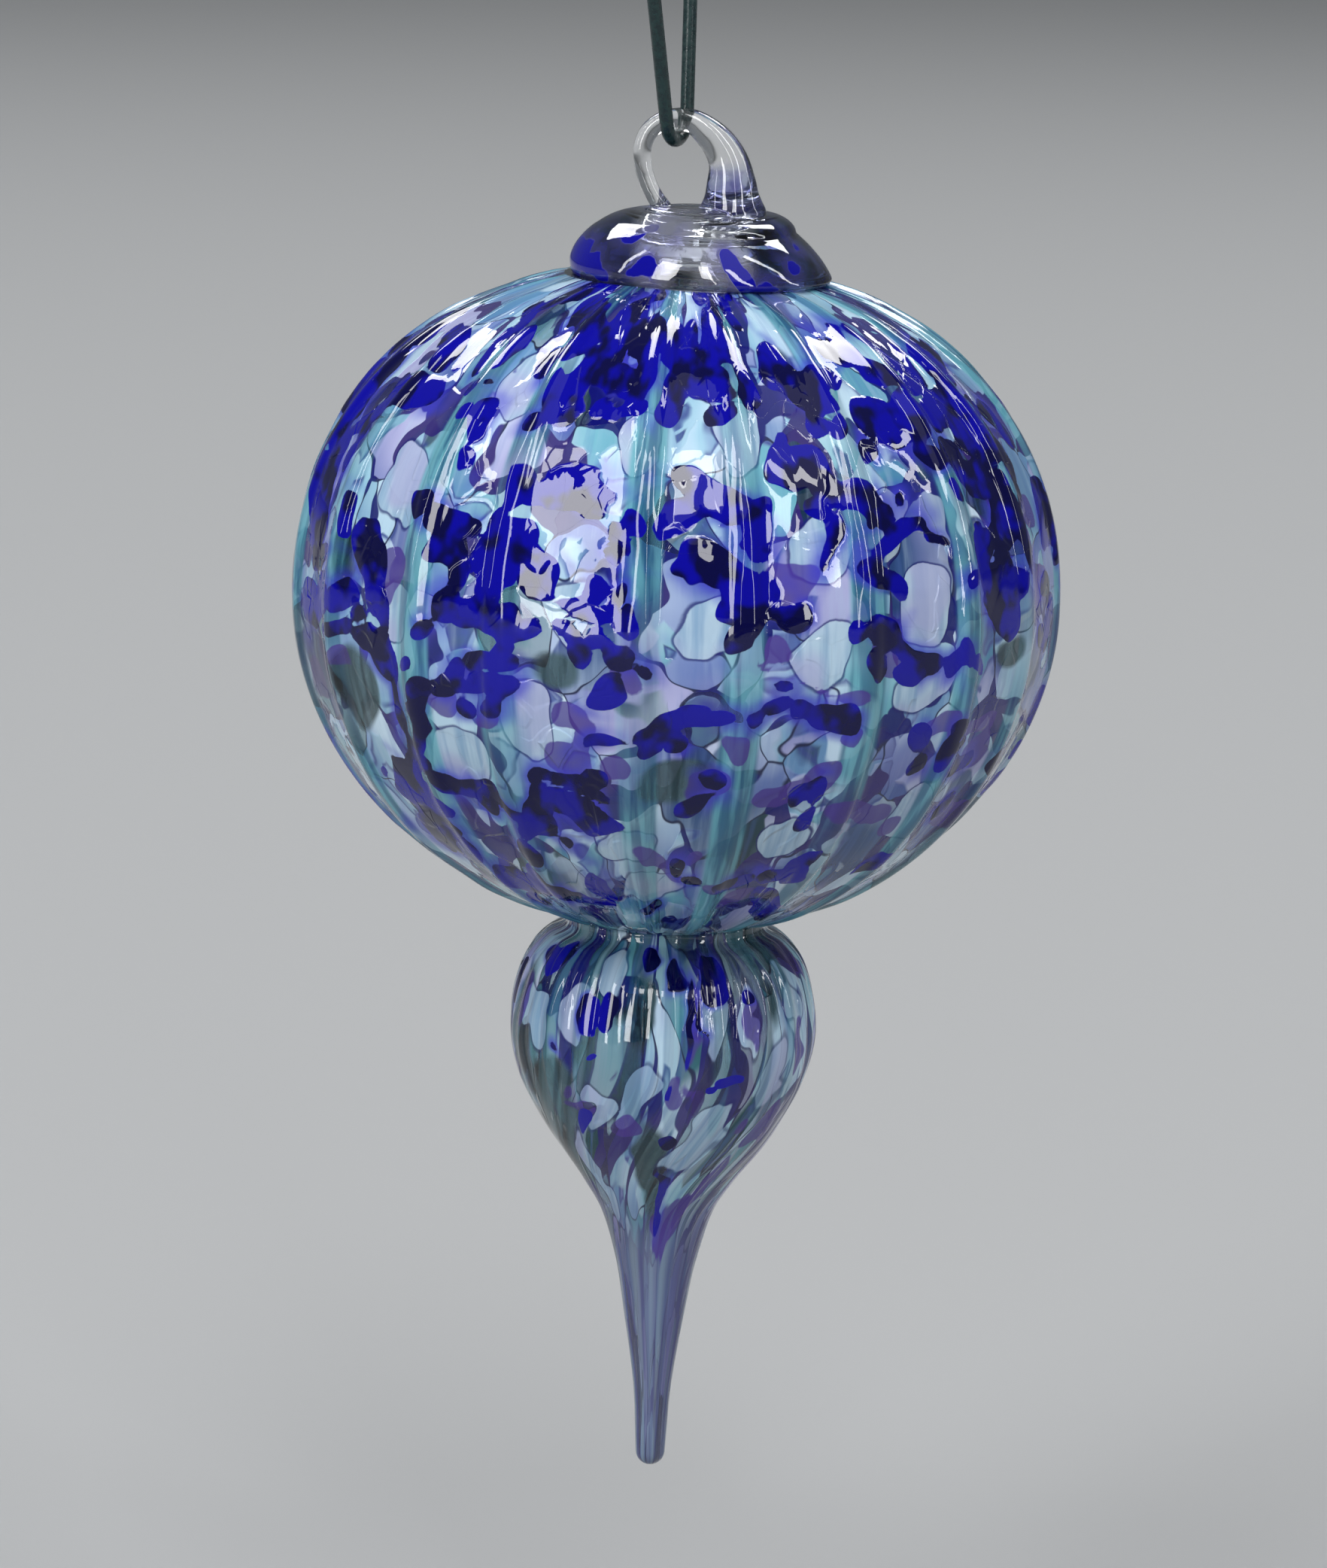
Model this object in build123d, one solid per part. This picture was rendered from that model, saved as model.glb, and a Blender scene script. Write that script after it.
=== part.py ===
from build123d import *

import os
from math import asin, cos, pi, radians, sin, sqrt

# Hand-blown glass ball ornament: a ribbed hollow globe with a shoulder dome, a drop finial, a clear
# glass hanging loop, and the coated wire hook that it hangs from.
#
# Millimetres, +Z up. The origin is the seat of the hook's upper crook, the point that rests on a
# branch. The glass is modelled about the globe's centre and then moved to its place below the hook.

# Globe, measured from its own centre
GLOBE_R = 40.0            # widest radius, between the ribs
TOP_HALF = 34.65          # half height of the upper half, to its flattened pole
TOP_POWER = 2.2           # superellipse exponent of the upper half
BOTTOM_HALF = 35.8
BOTTOM_POWER = 1.95
SHOULDER_Z = 33.4         # jack line below the shoulder dome
NECK_Z = -34.6            # jack line above the finial
NECK_R = 10.4
GLOBE_WALL = 1.6
THROAT_R = 8.2            # bore of the glass at both jack lines
PROFILE_SECTIONS = 19

# Optic ribs: degrees from the front, counted to the right, a little uneven as blown glass is
RIB_BEARINGS = [-61, -41, -26, -5, 10, 29, 48, 64, 83, 100,
                119, 137, 155, 173, 190, 209, 227, 245, 263, 281]
RIB_H = 0.55              # height of a rib at the equator
RIB_HALF_DEG = 2.6        # half the width of a rib
PANEL_POINTS = 3          # points that shape the panel between two ribs

# Shoulder dome, a squashed bubble a little off the globe's axis
DOME_X = 1.7
DOME_R = 13.65
DOME_TOP_Z = 40.1
DOME_FLAT_R = 7.0         # flat crown that the loop's foot stands on
DOME_WALL = 1.4

# Clear plug that seals the dome's blow hole and carries the loop
PLUG_X = 0.9
PLUG_R = 5.2
PLUG_FLARE_R = 6.9
PLUG_BOTTOM_Z = 34.4

# Hanging loop: centreline points (x, z) and rod radius, from the foot to the thin end
FOOT_X = 4.7
FOOT_R = 3.5
FOOT_TOP_Z = 43.0
LOOP_STATIONS = [
    (4.55, 43.00, 2.60), (4.15, 45.30, 2.10), (3.30, 46.85, 1.85), (2.00, 48.20, 1.60),
    (0.40, 49.20, 1.22), (-1.30, 49.45, 1.05), (-2.90, 49.05, 0.90), (-4.05, 48.15, 0.78),
    (-4.75, 46.70, 0.70), (-4.70, 44.80, 0.68), (-4.10, 42.80, 0.66), (-2.95, 40.90, 0.68),
]
LOOP_END_X = -2.3
LOOP_END_R = 0.85

# Finial: outer profile (radius, z)
BULB_POINTS = [(10.5, -35.6), (14.1, -38.5), (15.8, -42.5), (16.35, -47.0),
               (15.3, -52.0), (12.95, -57.0)]
SPIKE_TOP = (8.1, -64.0)
SPIKE_POINTS = [(6.2, -67.0), (4.4, -73.0), (3.15, -80.0), (2.1, -87.0)]
TIP_R = 1.6
TIP_Z = -96.45
BULB_CAVITY = [(12.3, -38.3), (14.2, -42.5), (14.8, -47.0), (13.8, -52.0), (11.2, -57.0),
               (6.5, -60.8)]
BULB_CAVITY_FLOOR = -62.0

# Hook, a flat bent wire whose plane is turned a little from front to back
WIRE_R = 0.72             # over the coating
CORE_R = 0.50
HOOK_TURN = 23.0          # degrees that the hook's plane is turned to the right at the back
BIGHT_R = 2.70            # centreline radius of the small lower bend
CROOK_R = 9.20            # centreline radius of the upper crook
SHANK_BEND_R = 12.0       # centreline radius of the bend from the shank to the crook
TAIL_FLARE = 18.0         # degrees that the front tail leans out
TAIL_LENGTH = 15.5
CROOK_TIP_ANGLE = 197.0   # where the crook ends, counted from the back
HOOK_HEIGHT = 49.9        # over the wire

SEAT_CLEARANCE = 0.35     # running gap between the wire and the glass rod
HANG_STATION = 5          # the loop station that rests in the bight

HANG_X, HANG_Z, HANG_R = LOOP_STATIONS[HANG_STATION]
BIGHT_Z = HANG_Z - HANG_R - SEAT_CLEARANCE + BIGHT_R - WIRE_R     # bight centre, from the globe's
CROOK_Z = BIGHT_Z - BIGHT_R - WIRE_R + HOOK_HEIGHT - CROOK_R - WIRE_R
SEAT_Z = CROOK_Z + CROOK_R - WIRE_R
GLOBE_CENTRE = Pos(-HANG_X, 0, -SEAT_Z)


def superellipse(radius, half_height, power, z):
    """Radius of a superellipse of revolution at height z."""
    return radius * (1 - abs(z / half_height) ** power) ** (1 / power)


def globe_radius(z):
    """Outer radius of the globe between its ribs, no smaller than the neck below."""
    if z > 0:
        return superellipse(GLOBE_R, TOP_HALF, TOP_POWER, z)
    return max(superellipse(GLOBE_R, BOTTOM_HALF, BOTTOM_POWER, z), NECK_R)


def ribbed_outline():
    """Closed outline of unit radius with a rounded bead at each rib."""
    height = RIB_H / GLOBE_R
    bead = [(-1.0, 0.0), (-0.5, 0.5), (0.0, 1.0), (0.5, 0.5), (1.0, 0.0)]
    polar = []
    for bearing, following in zip(RIB_BEARINGS, RIB_BEARINGS[1:] + [RIB_BEARINGS[0] + 360]):
        polar += [(bearing + side * RIB_HALF_DEG, 1 + rise * height) for side, rise in bead]
        panel_start = bearing + RIB_HALF_DEG
        panel = following - bearing - 2 * RIB_HALF_DEG
        polar += [(panel_start + panel * (step + 1) / (PANEL_POINTS + 1), 1)
                  for step in range(PANEL_POINTS)]
    points = [(radius * sin(radians(angle)), -radius * cos(radians(angle))) for angle, radius in polar]
    return Spline(*points, periodic=True)


def revolved(edges):
    """Solid of revolution about Z from a closed outline in the XZ plane."""
    return revolve(make_face(edges), Axis.Z)


def closed_profile(curve, top, bottom):
    """Close a profile curve to the axis with flat ends at heights top and bottom."""
    start, end = curve @ 0, curve @ 1
    return [curve, Line(end, (0, 0, bottom)), Line((0, 0, bottom), (0, 0, top)),
            Line((0, 0, top), start)]


def globe_cavity():
    """Hollow inside of the globe, with a throat at each jack line."""
    radius = GLOBE_R - GLOBE_WALL
    top, bottom = TOP_HALF - GLOBE_WALL, BOTTOM_HALF - GLOBE_WALL
    steps = 12
    upper = [(superellipse(radius, top, TOP_POWER, top * sin(pi / 2 * i / steps)), 0,
              top * sin(pi / 2 * i / steps)) for i in range(steps, 0, -1)]
    lower = [(superellipse(radius, bottom, BOTTOM_POWER, bottom * sin(pi / 2 * i / steps)), 0,
              -bottom * sin(pi / 2 * i / steps)) for i in range(steps + 1)]
    curve = Spline(*upper, *lower)
    hollow = revolved([curve, Line(curve @ 1, curve @ 0)])
    throat = Cylinder(THROAT_R, SHOULDER_Z - NECK_Z, align=(Align.CENTER, Align.CENTER, Align.MIN))
    return hollow + Pos(0, 0, NECK_Z) * throat


def ball_shell():
    """Ribbed hollow globe, open at both jack lines."""
    first, last = asin(NECK_Z / BOTTOM_HALF), asin(SHOULDER_Z / TOP_HALF)
    outline = ribbed_outline()
    sections = []
    for i in range(PROFILE_SECTIONS):
        angle = first + (last - first) * i / (PROFILE_SECTIONS - 1)
        z = (TOP_HALF if angle > 0 else BOTTOM_HALF) * sin(angle)
        sections.append(Pos(0, 0, z) * make_face(outline.scale(globe_radius(z))))
    return loft(sections) - globe_cavity()


def dome_outline(radius, flat, z_base, z_crown, power=1.9, steps=8):
    """Quarter outline of a squashed bubble with a flat crown."""
    rim = [(flat + (radius - flat) * cos(pi / 2 * i / steps) ** (2 / power), 0,
            z_base + (z_crown - z_base) * sin(pi / 2 * i / steps) ** (2 / power))
           for i in range(steps + 1)]
    shoulder = Spline(*rim)
    return [shoulder, Line(shoulder @ 1, (0, 0, z_crown)), Line((0, 0, z_crown), (0, 0, z_base)),
            Line((0, 0, z_base), shoulder @ 0)]


def shoulder_dome():
    """Hollow dome on the globe's shoulder, pierced where the plug seals it."""
    outer = revolved(dome_outline(DOME_R, DOME_FLAT_R, SHOULDER_Z, DOME_TOP_Z))
    inner = revolved(dome_outline(DOME_R - DOME_WALL, DOME_FLAT_R, SHOULDER_Z,
                                  DOME_TOP_Z - DOME_WALL))
    blow_hole = Pos(PLUG_X - DOME_X, 0, DOME_TOP_Z) * Cylinder(PLUG_R, 4 * DOME_WALL)
    return Pos(DOME_X, 0, 0) * (outer - inner - blow_hole)


def seal_plug():
    """Clear plug in the blow hole, with a bell-shaped foot inside the dome."""
    ceiling = DOME_TOP_Z - DOME_WALL
    flare = Spline((PLUG_R, 0, ceiling), (PLUG_R + 0.4, 0, ceiling - 1.8),
                   (PLUG_FLARE_R, 0, PLUG_BOTTOM_Z))
    bell = revolved(closed_profile(flare, ceiling, PLUG_BOTTOM_Z))
    neck = Pos(0, 0, ceiling) * Cylinder(PLUG_R, DOME_WALL, align=(Align.CENTER, Align.CENTER, Align.MIN))
    return Pos(PLUG_X, 0, 0) * (bell + neck)


def loop_foot():
    """Flared pad where the loop's thick end was pressed onto the plug."""
    _, _, loop_r = LOOP_STATIONS[0]
    flare = Spline((loop_r, 0, FOOT_TOP_Z), (loop_r + 0.25, 0, FOOT_TOP_Z - 1.3),
                   (FOOT_R, 0, DOME_TOP_Z))
    return Pos(FOOT_X, 0, 0) * revolved(closed_profile(flare, FOOT_TOP_Z, DOME_TOP_Z))


def hanging_loop():
    """Tapered clear rod bent over from the foot to its thin end on the plug."""
    stations = LOOP_STATIONS + [(LOOP_END_X, DOME_TOP_Z, LOOP_END_R)]
    centreline = Spline(*[(x, 0, z) for x, z, _ in stations],
                        tangents=[(0, 0, 1), (0.5, 0, -1)])
    up, down = Vector(0, 0, 1), Vector(0, 0, -1)
    between = [centreline.tangent_at(centreline.param_at_point((x, 0, z))) for x, z, _ in stations[1:-1]]
    sections = []
    for (x, z, radius), along in zip(stations, [up, *between, down]):
        plane = Plane(origin=(x, 0, z), x_dir=(0, 1, 0), z_dir=along)
        sections.append(plane * Circle(radius))
    return loft(sections)


def finial_bulb():
    """Hollow bulb below the neck, closed at its lower end."""
    outer_curve = Spline((NECK_R, 0, NECK_Z), *[(r, 0, z) for r, z in BULB_POINTS],
                         (SPIKE_TOP[0], 0, SPIKE_TOP[1]))
    outer = revolved(closed_profile(outer_curve, NECK_Z, SPIKE_TOP[1]))
    cavity_curve = Spline((THROAT_R, 0, NECK_Z), *[(r, 0, z) for r, z in BULB_CAVITY],
                          (0, 0, BULB_CAVITY_FLOOR), tangents=[(0, 0, -1), (-1, 0, 0)])
    axis_line = Line((0, 0, BULB_CAVITY_FLOOR), (0, 0, NECK_Z))
    lid = Line((0, 0, NECK_Z), (THROAT_R, 0, NECK_Z))
    return outer - revolved([cavity_curve, axis_line, lid])


def finial_spike():
    """Solid drawn point of the finial with a rounded tip."""
    tip_start = (TIP_R, 0, TIP_Z + TIP_R)
    flank = Spline((SPIKE_TOP[0], 0, SPIKE_TOP[1]), *[(r, 0, z) for r, z in SPIKE_POINTS], tip_start,
                   tangents=[(-0.62, 0, -1), (0, 0, -1)])
    tip_middle = (TIP_R * sin(pi / 4), 0, TIP_Z + TIP_R - TIP_R * cos(pi / 4))
    tip = ThreePointArc(tip_start, tip_middle, (0, 0, TIP_Z))
    axis_line = Line((0, 0, TIP_Z), (0, 0, SPIKE_TOP[1]))
    crown = Line((0, 0, SPIKE_TOP[1]), (SPIKE_TOP[0], 0, SPIKE_TOP[1]))
    return revolved([flank, tip, axis_line, crown])


def hook_path():
    """Centreline of the hook in its own plane, from the tail to the crook's tip."""
    bight = BIGHT_Z - SEAT_Z
    crook = CROOK_Z - SEAT_Z
    flare = radians(TAIL_FLARE)
    tail_root = Vector(-BIGHT_R * cos(flare), 0, bight - BIGHT_R * sin(flare))
    tail_tip = tail_root + Vector(-sin(flare), 0, cos(flare)) * TAIL_LENGTH
    bend_x = BIGHT_R + SHANK_BEND_R
    rise = sqrt((CROOK_R + SHANK_BEND_R) ** 2 - bend_x ** 2)
    bend_start = Vector(BIGHT_R, 0, crook - rise)
    share = CROOK_R / (CROOK_R + SHANK_BEND_R)
    crook_start = Vector(bend_x * share, 0, crook - rise * share)
    half_turn = 0.5 * asin(rise / (CROOK_R + SHANK_BEND_R))
    bend_mid = Vector(bend_x - SHANK_BEND_R * cos(half_turn), 0,
                      bend_start.Z + SHANK_BEND_R * sin(half_turn))
    tip_angle = radians(CROOK_TIP_ANGLE)
    crook_tip = Vector(CROOK_R * cos(tip_angle), 0, crook + CROOK_R * sin(tip_angle))
    return [
        Line(tail_tip, tail_root),
        ThreePointArc(tail_root, (0, 0, bight - BIGHT_R), (BIGHT_R, 0, bight)),
        Line((BIGHT_R, 0, bight), bend_start),
        ThreePointArc(bend_start, bend_mid, crook_start),
        ThreePointArc(crook_start, (0, 0, crook + CROOK_R), crook_tip),
    ]


def hook_rod(radius):
    """Solid of the given radius along the hook."""
    path = Wire(hook_path())
    start = Plane(origin=path @ 0, z_dir=path % 0)
    return Rot(0, 0, 90 - HOOK_TURN) * sweep(start * Circle(radius), path)


def hook_core():
    """Steel wire inside the coating."""
    return hook_rod(CORE_R)


def hook_coating():
    """Green coating around the steel wire."""
    return hook_rod(WIRE_R) - hook_rod(CORE_R)


glass = {
    "ball_shell": ball_shell, "shoulder_dome": shoulder_dome, "seal_plug": seal_plug,
    "loop_foot": loop_foot, "hanging_loop": hanging_loop, "finial_bulb": finial_bulb,
    "finial_spike": finial_spike,
}
hook = {"hook_core": hook_core, "hook_coating": hook_coating}

os.makedirs("parts", exist_ok=True)
for name, make in glass.items():
    export_step(GLOBE_CENTRE * make(), f"parts/{name}.step")
for name, make in hook.items():
    export_step(make(), f"parts/{name}.step")
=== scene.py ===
"""Looks of a hand-blown glass ball ornament that hangs on a coated wire hook.

The glass is shaped here in millimetres about the globe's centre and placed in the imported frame. Colour chips
(frit) are placed by bearing, in degrees to the right of the front, and by height.
"""
import math

import bpy
import numpy as np
from mathutils import Matrix, Vector


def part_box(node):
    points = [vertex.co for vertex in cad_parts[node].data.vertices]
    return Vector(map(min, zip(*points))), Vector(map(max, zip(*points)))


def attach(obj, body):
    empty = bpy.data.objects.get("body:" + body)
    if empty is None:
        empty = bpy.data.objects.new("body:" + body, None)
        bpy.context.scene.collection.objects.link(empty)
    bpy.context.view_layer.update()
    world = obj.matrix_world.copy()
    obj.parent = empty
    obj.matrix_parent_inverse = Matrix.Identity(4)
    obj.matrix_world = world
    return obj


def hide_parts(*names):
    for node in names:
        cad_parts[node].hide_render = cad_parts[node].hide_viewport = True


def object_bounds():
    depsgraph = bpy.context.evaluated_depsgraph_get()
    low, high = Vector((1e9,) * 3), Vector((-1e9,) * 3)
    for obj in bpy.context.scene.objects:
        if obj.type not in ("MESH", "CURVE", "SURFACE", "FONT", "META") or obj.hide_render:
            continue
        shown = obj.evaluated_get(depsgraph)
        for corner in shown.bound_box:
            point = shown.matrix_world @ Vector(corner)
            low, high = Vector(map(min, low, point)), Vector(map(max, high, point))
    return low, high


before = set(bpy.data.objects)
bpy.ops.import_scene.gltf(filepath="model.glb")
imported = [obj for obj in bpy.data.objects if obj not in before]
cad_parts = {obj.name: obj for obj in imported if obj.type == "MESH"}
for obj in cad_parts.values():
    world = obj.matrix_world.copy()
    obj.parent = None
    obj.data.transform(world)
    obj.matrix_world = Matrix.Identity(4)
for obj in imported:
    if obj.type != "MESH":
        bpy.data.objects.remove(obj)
cad_low, cad_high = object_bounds()

# ---------------------------------------------------------------- places and sizes, millimetres
MM = 0.001
NECK_Z, SHOULDER_Z = -34.6, 33.4      # jack lines of the globe, from its centre
shell_low, shell_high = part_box("ball_shell")
bulb_low, bulb_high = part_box("finial_bulb")
dome_low, dome_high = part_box("shoulder_dome")
plug_low, plug_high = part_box("seal_plug")
GLOBE = Vector(((bulb_low.x + bulb_high.x) / 2, (bulb_low.y + bulb_high.y) / 2,
                shell_low.z - NECK_Z * MM))
DOME_X = ((dome_low.x + dome_high.x) / 2 - GLOBE.x) / MM
PLUG_X = ((plug_low.x + plug_high.x) / 2 - GLOBE.x) / MM

GLOBE_R = 40.0
TOP_HALF, TOP_POWER = 34.65, 2.2
BOTTOM_HALF, BOTTOM_POWER = 35.8, 1.95
NECK_R = 10.4
THROAT_R = 8.2
GLOBE_WALL = 1.6

# optic ribs, and the hollowed panels between them
RIB_BEARINGS = [-61, -41, -26, -5, 10, 29, 48, 64, 83, 100,
                119, 137, 155, 173, 190, 209, 227, 245, 263, 281]
RIB_HALF_DEG = 2.6
RIB_H = 0.50
PANEL_HOLLOW = 0.40
MOST_RAISED = 0.44                    # keeps the ribs inside the CAD model's box
PETAL_SIZE, PETAL_RELIEF = 9.0, 0.14  # melted frit of the globe

# outlines are (radius, height), from the globe's centre
FINIAL_PROFILE = [
    (10.4, -34.6), (10.5, -35.6), (12.6, -36.9), (14.1, -38.5), (15.8, -42.5), (16.35, -47), (15.3, -52),
    (12.95, -57), (8.1, -64), (6.2, -67), (4.4, -73), (3.15, -80), (2.1, -87), (1.6, -94.85),
]
CAVITY_PROFILE = [
    (8.2, -34.6), (8.5, -35.6), (12.3, -38.9), (14.2, -42.5), (14.8, -47), (13.8, -52), (11.2, -57),
    (6.5, -60.8), (3, -61.8), (0, -62),
]
TIP_R, TIP_Z = 1.6, -96.45
FLUTE_H = 0.17
FLUTE_TURN = 6.0                      # degrees that the flutes lie off the globe's ribs
FINIAL_TWIST = 42.0                   # degrees that the streaks wind round between bulb and spike
DOME_PROFILE = [
    (12.8, 33.1), (13.45, 33.4), (13.65, 34.1), (13.45, 35.3), (12.7, 36.8), (11.3, 38.3), (9.3, 39.5),
    (7.3, 40.05), (5.25, 40.12),
]
DOME_INSIDE = [
    (11.7, 33.1), (12.5, 34.2), (12.2, 35.5), (11.3, 36.9), (9.8, 38.1), (7.9, 38.75), (5.25, 38.85),
]
PLUG_PROFILE = [
    (0.05, 34.5), (5.2, 34.35), (6.5, 34.5), (6.9, 35), (6.5, 35.9), (5.7, 36.9), (5.25, 38), (5.15, 38.9),
    (5.15, 39.9), (4.9, 40.25), (4.2, 40.4), (0.05, 40.45),
]
LOOP_STATIONS = [                     # x, z, radius of the clear rod, from its foot to its thin end
    (4.7, 39.6, 3.6), (4.7, 40.3, 3.55), (4.68, 40.9, 3.25), (4.63, 41.8, 2.85), (4.55, 43, 2.6),
    (4.15, 45.3, 2.1), (3.3, 46.85, 1.85), (2, 48.2, 1.6), (0.4, 49.27, 1.29), (-1.3, 49.53, 1.13),
    (-2.9, 49.12, 1.02), (-4.05, 48.2, 0.98), (-4.7, 46.7, 0.95), (-4.65, 44.8, 0.93), (-4.05, 42.8, 0.9),
    (-2.95, 40.9, 0.92), (-2.45, 40.2, 1), (-2.25, 39.7, 1.2),
]
HANG = (-1.30, 49.45, 1.05)           # where the loop rests in the hook
WIRE_R, CORE_R = 0.72, 0.50
WIRE_SIDES = 28
WIRE_END_EASE = 0.07                  # how much narrower the wire's cut ends are
HOOK_TURN, HOOK_HEIGHT = 23.0, 49.89
BIGHT_R, CROOK_R, SHANK_BEND_R = 2.70, 9.20, 12.0
TAIL_FLARE, TAIL_LENGTH = 18.0, 15.5
CROOK_TIP_ANGLE = 197.0
SEAT_CLEARANCE = 0.35

# camera and lights, in metres and degrees
CAMERA_DISTANCE, CAMERA_ELEVATION, CAMERA_ROLL = 0.550, 10, 1.67
CAMERA_AIM = (-0.00119, 0.97776, -0.20974)
LIGHT_DISTANCE = 3.0
FLOOR_DROP, FLOOR_HALF = 0.045, 25.0

# ---------------------------------------------------------------- colour chips
# Those seen from the front: bearing, height, half width in degrees, half height in mm, and for some a lean in
# radians. The back, which these don't reach, gets chips scattered from fixed seeds.
BACK_START, BACK_END = 80, 280
SEED = 7
COBALT_CHIPS = [
    (-10, 33, 3, 1), (6, 33, 2, 1), (12, 32.5, 4, 1), (-42, 32.5, 6, 0.7), (-14, 31, 4, 1.5),
    (-27, 30, 5, 1.4), (-7, 30, 2, 1.5), (-45, 29.5, 5, 0.6), (-3, 29, 2, 1.5), (-25, 28.5, 3, 1.4),
    (0, 28.5, 2, 2), (4, 28.5, 3, 0.6), (9, 29, 2.5, 1.6), (38, 28.5, 5, 1.2), (-8, 28, 2, 2),
    (51, 28, 5, 0.7), (68, 28, 5, 0.6), (-19, 27.5, 2.5, 1.8), (22, 27.5, 3, 1.6), (-80, 27, 4, 1),
    (-62, 27, 5, 0.8), (-11, 26.5, 4.5, 0.8), (30, 26.5, 4, 1), (43, 26.5, 5.5, 1), (71, 26.5, 7, 1),
    (-20, 26, 2, 1.5), (6, 26, 4, 1.1), (54, 26, 4, 0.8), (-9, 25.5, 1.5, 1.5), (13, 25.5, 2, 1.6),
    (-25, 25, 1.5, 1.5), (24, 25, 5, 1), (63, 25, 5, 0.6), (-42, 24.5, 1, 1), (-2, 24.5, 2, 2),
    (-22, 24, 3, 2.2), (-80, 24, 5, 2.5), (57, 23.5, 6, 1), (-57, 23, 6, 1.5), (38, 22.5, 5.5, 2),
    (45, 22, 3.5, 2.2), (29, 22, 1, 1), (61, 21.5, 5, 1.8), (-36, 21, 1.5, 2), (73, 21, 3, 1),
    (-67, 20, 7, 1), (64, 19, 4.5, 2.2), (17, 18.5, 3.5, 1.8), (52, 18.5, 3.5, 1.4),
    (23, 18, 4.5, 1.7, -0.3), (46, 18, 4, 0.8, -0.5), (-17, 17, 3, 0.9), (-14, 16.5, 4, 0.6),
    (-25, 16.5, 2, 1.4), (27, 16.5, 4, 1.3, -0.3), (56, 16.5, 4.5, 1.8), (67, 16.5, 3.5, 1.8),
    (5, 16, 6, 1.9), (-66, 15.5, 1.5, 1.3), (-16, 15, 4.5, 1.2), (30, 15, 3, 1), (1, 14, 3, 1.2),
    (33, 14, 2, 1.2), (60, 14, 2.5, 3), (12, 13, 3, 2.4), (-28, 12.5, 1.3, 1.3), (-73, 12, 4, 5.5),
    (-38, 12, 3, 1.3), (-8, 12, 1, 1), (35, 12, 4.5, 1), (23, 12, 0.8, 1.8), (60, 11, 3, 1.6),
    (-58, 10, 2, 2), (53, 10, 3, 2), (64, 10, 1.8, 4), (78, 10, 2.5, 3), (5, 9.5, 4, 1.2, -0.2),
    (-37, 9, 2.7, 2), (-28, 9, 4, 2.6), (-21, 8.5, 2.5, 2.8), (11, 8, 4, 1.1), (52, 8, 2, 2.6),
    (33, 8, 0.7, 1), (13, 6, 1.5, 3.5), (-67, 6, 3.5, 1.2), (-29, 5.5, 2.5, 1.1), (-9, 5.5, 1.2, 1.5),
    (-51, 5, 3, 4.5), (-12, 5, 2.5, 0.4), (8, 4.5, 2, 1.4), (-37, 4, 1.2, 1.5), (56, 4, 4.5, 3),
    (-6, 3.5, 1.7, 1.6, 0.5), (-30, 3, 4.5, 1.5), (-25, 3, 2, 1.9), (32, 3, 2, 2), (-15, 2.5, 3, 0.5),
    (-22, 2, 3, 0.7), (-57, 2, 3.5, 1.4), (-9, 2, 2, 0.6), (28, 2, 1, 0.8), (36, 0.5, 3.5, 0.7, -0.6),
    (-70, 0, 4, 3), (-7, 0, 1.2, 1.2), (76, 0, 3, 1.8), (47, -1, 0.6, 1.2), (-58, -1, 3, 1), (31, -1, 1, 1),
    (-29, -1.5, 1.8, 0.8), (-48, -2.5, 4.5, 1.7, -0.5), (-9, -3.5, 2, 0.9, 0.7), (-29, -3.5, 2, 0.6),
    (14, -4.5, 2.4, 1, 0.6), (-36, -4.5, 1.2, 0.5), (-40, -5, 0.8, 1.2), (24, -5.5, 2.8, 1.4, -0.5),
    (2, -5.5, 4.5, 1.3, 0.1), (-2, -6, 2.5, 0.8, 0.4), (11, -6, 1.2, 0.8), (-27, -6, 1.5, 0.6),
    (-5, -7, 1.2, 0.7, 0.6), (-8, -8, 2, 0.4), (40, -9, 2, 1.4), (-45, -9, 0.8, 4.5),
    (47, -11.5, 2, 1.4, 0.8), (-43, -12, 1, 3.5), (-10, -12.5, 1, 0.8), (53, -13, 2, 1.2),
    (-15, -13.5, 4, 0.7), (24, -14, 0.9, 1), (66, -14, 3.5, 1.6), (4, -15, 2, 0.5),
    (-35, -15.5, 4, 0.9, -0.3), (-15, -16.5, 4.5, 1.4), (-26, -17.5, 4, 0.5, -0.5), (-48, -17.5, 5, 2.6),
    (-9, -17.5, 1.6, 0.5), (57, -18.5, 2, 0.8), (-21, -19, 1.2, 1.2), (-48, -21.5, 6, 1.3),
    (28, -21.5, 1.5, 0.9, 0.8), (3, -22, 1.8, 1.1), (-27, -22, 2, 1.5), (-43, -23, 2, 1.5),
    (22, -24, 2.5, 0.8), (46, -24, 4, 0.8), (13, -24.5, 4, 0.9, 0.2), (-14, -25, 1.3, 1.7),
    (-35, -27, 5, 1), (-22, -27.5, 6, 0.8), (-4, -28, 3, 0.9), (26, -28.5, 5, 1.2),
]
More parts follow.
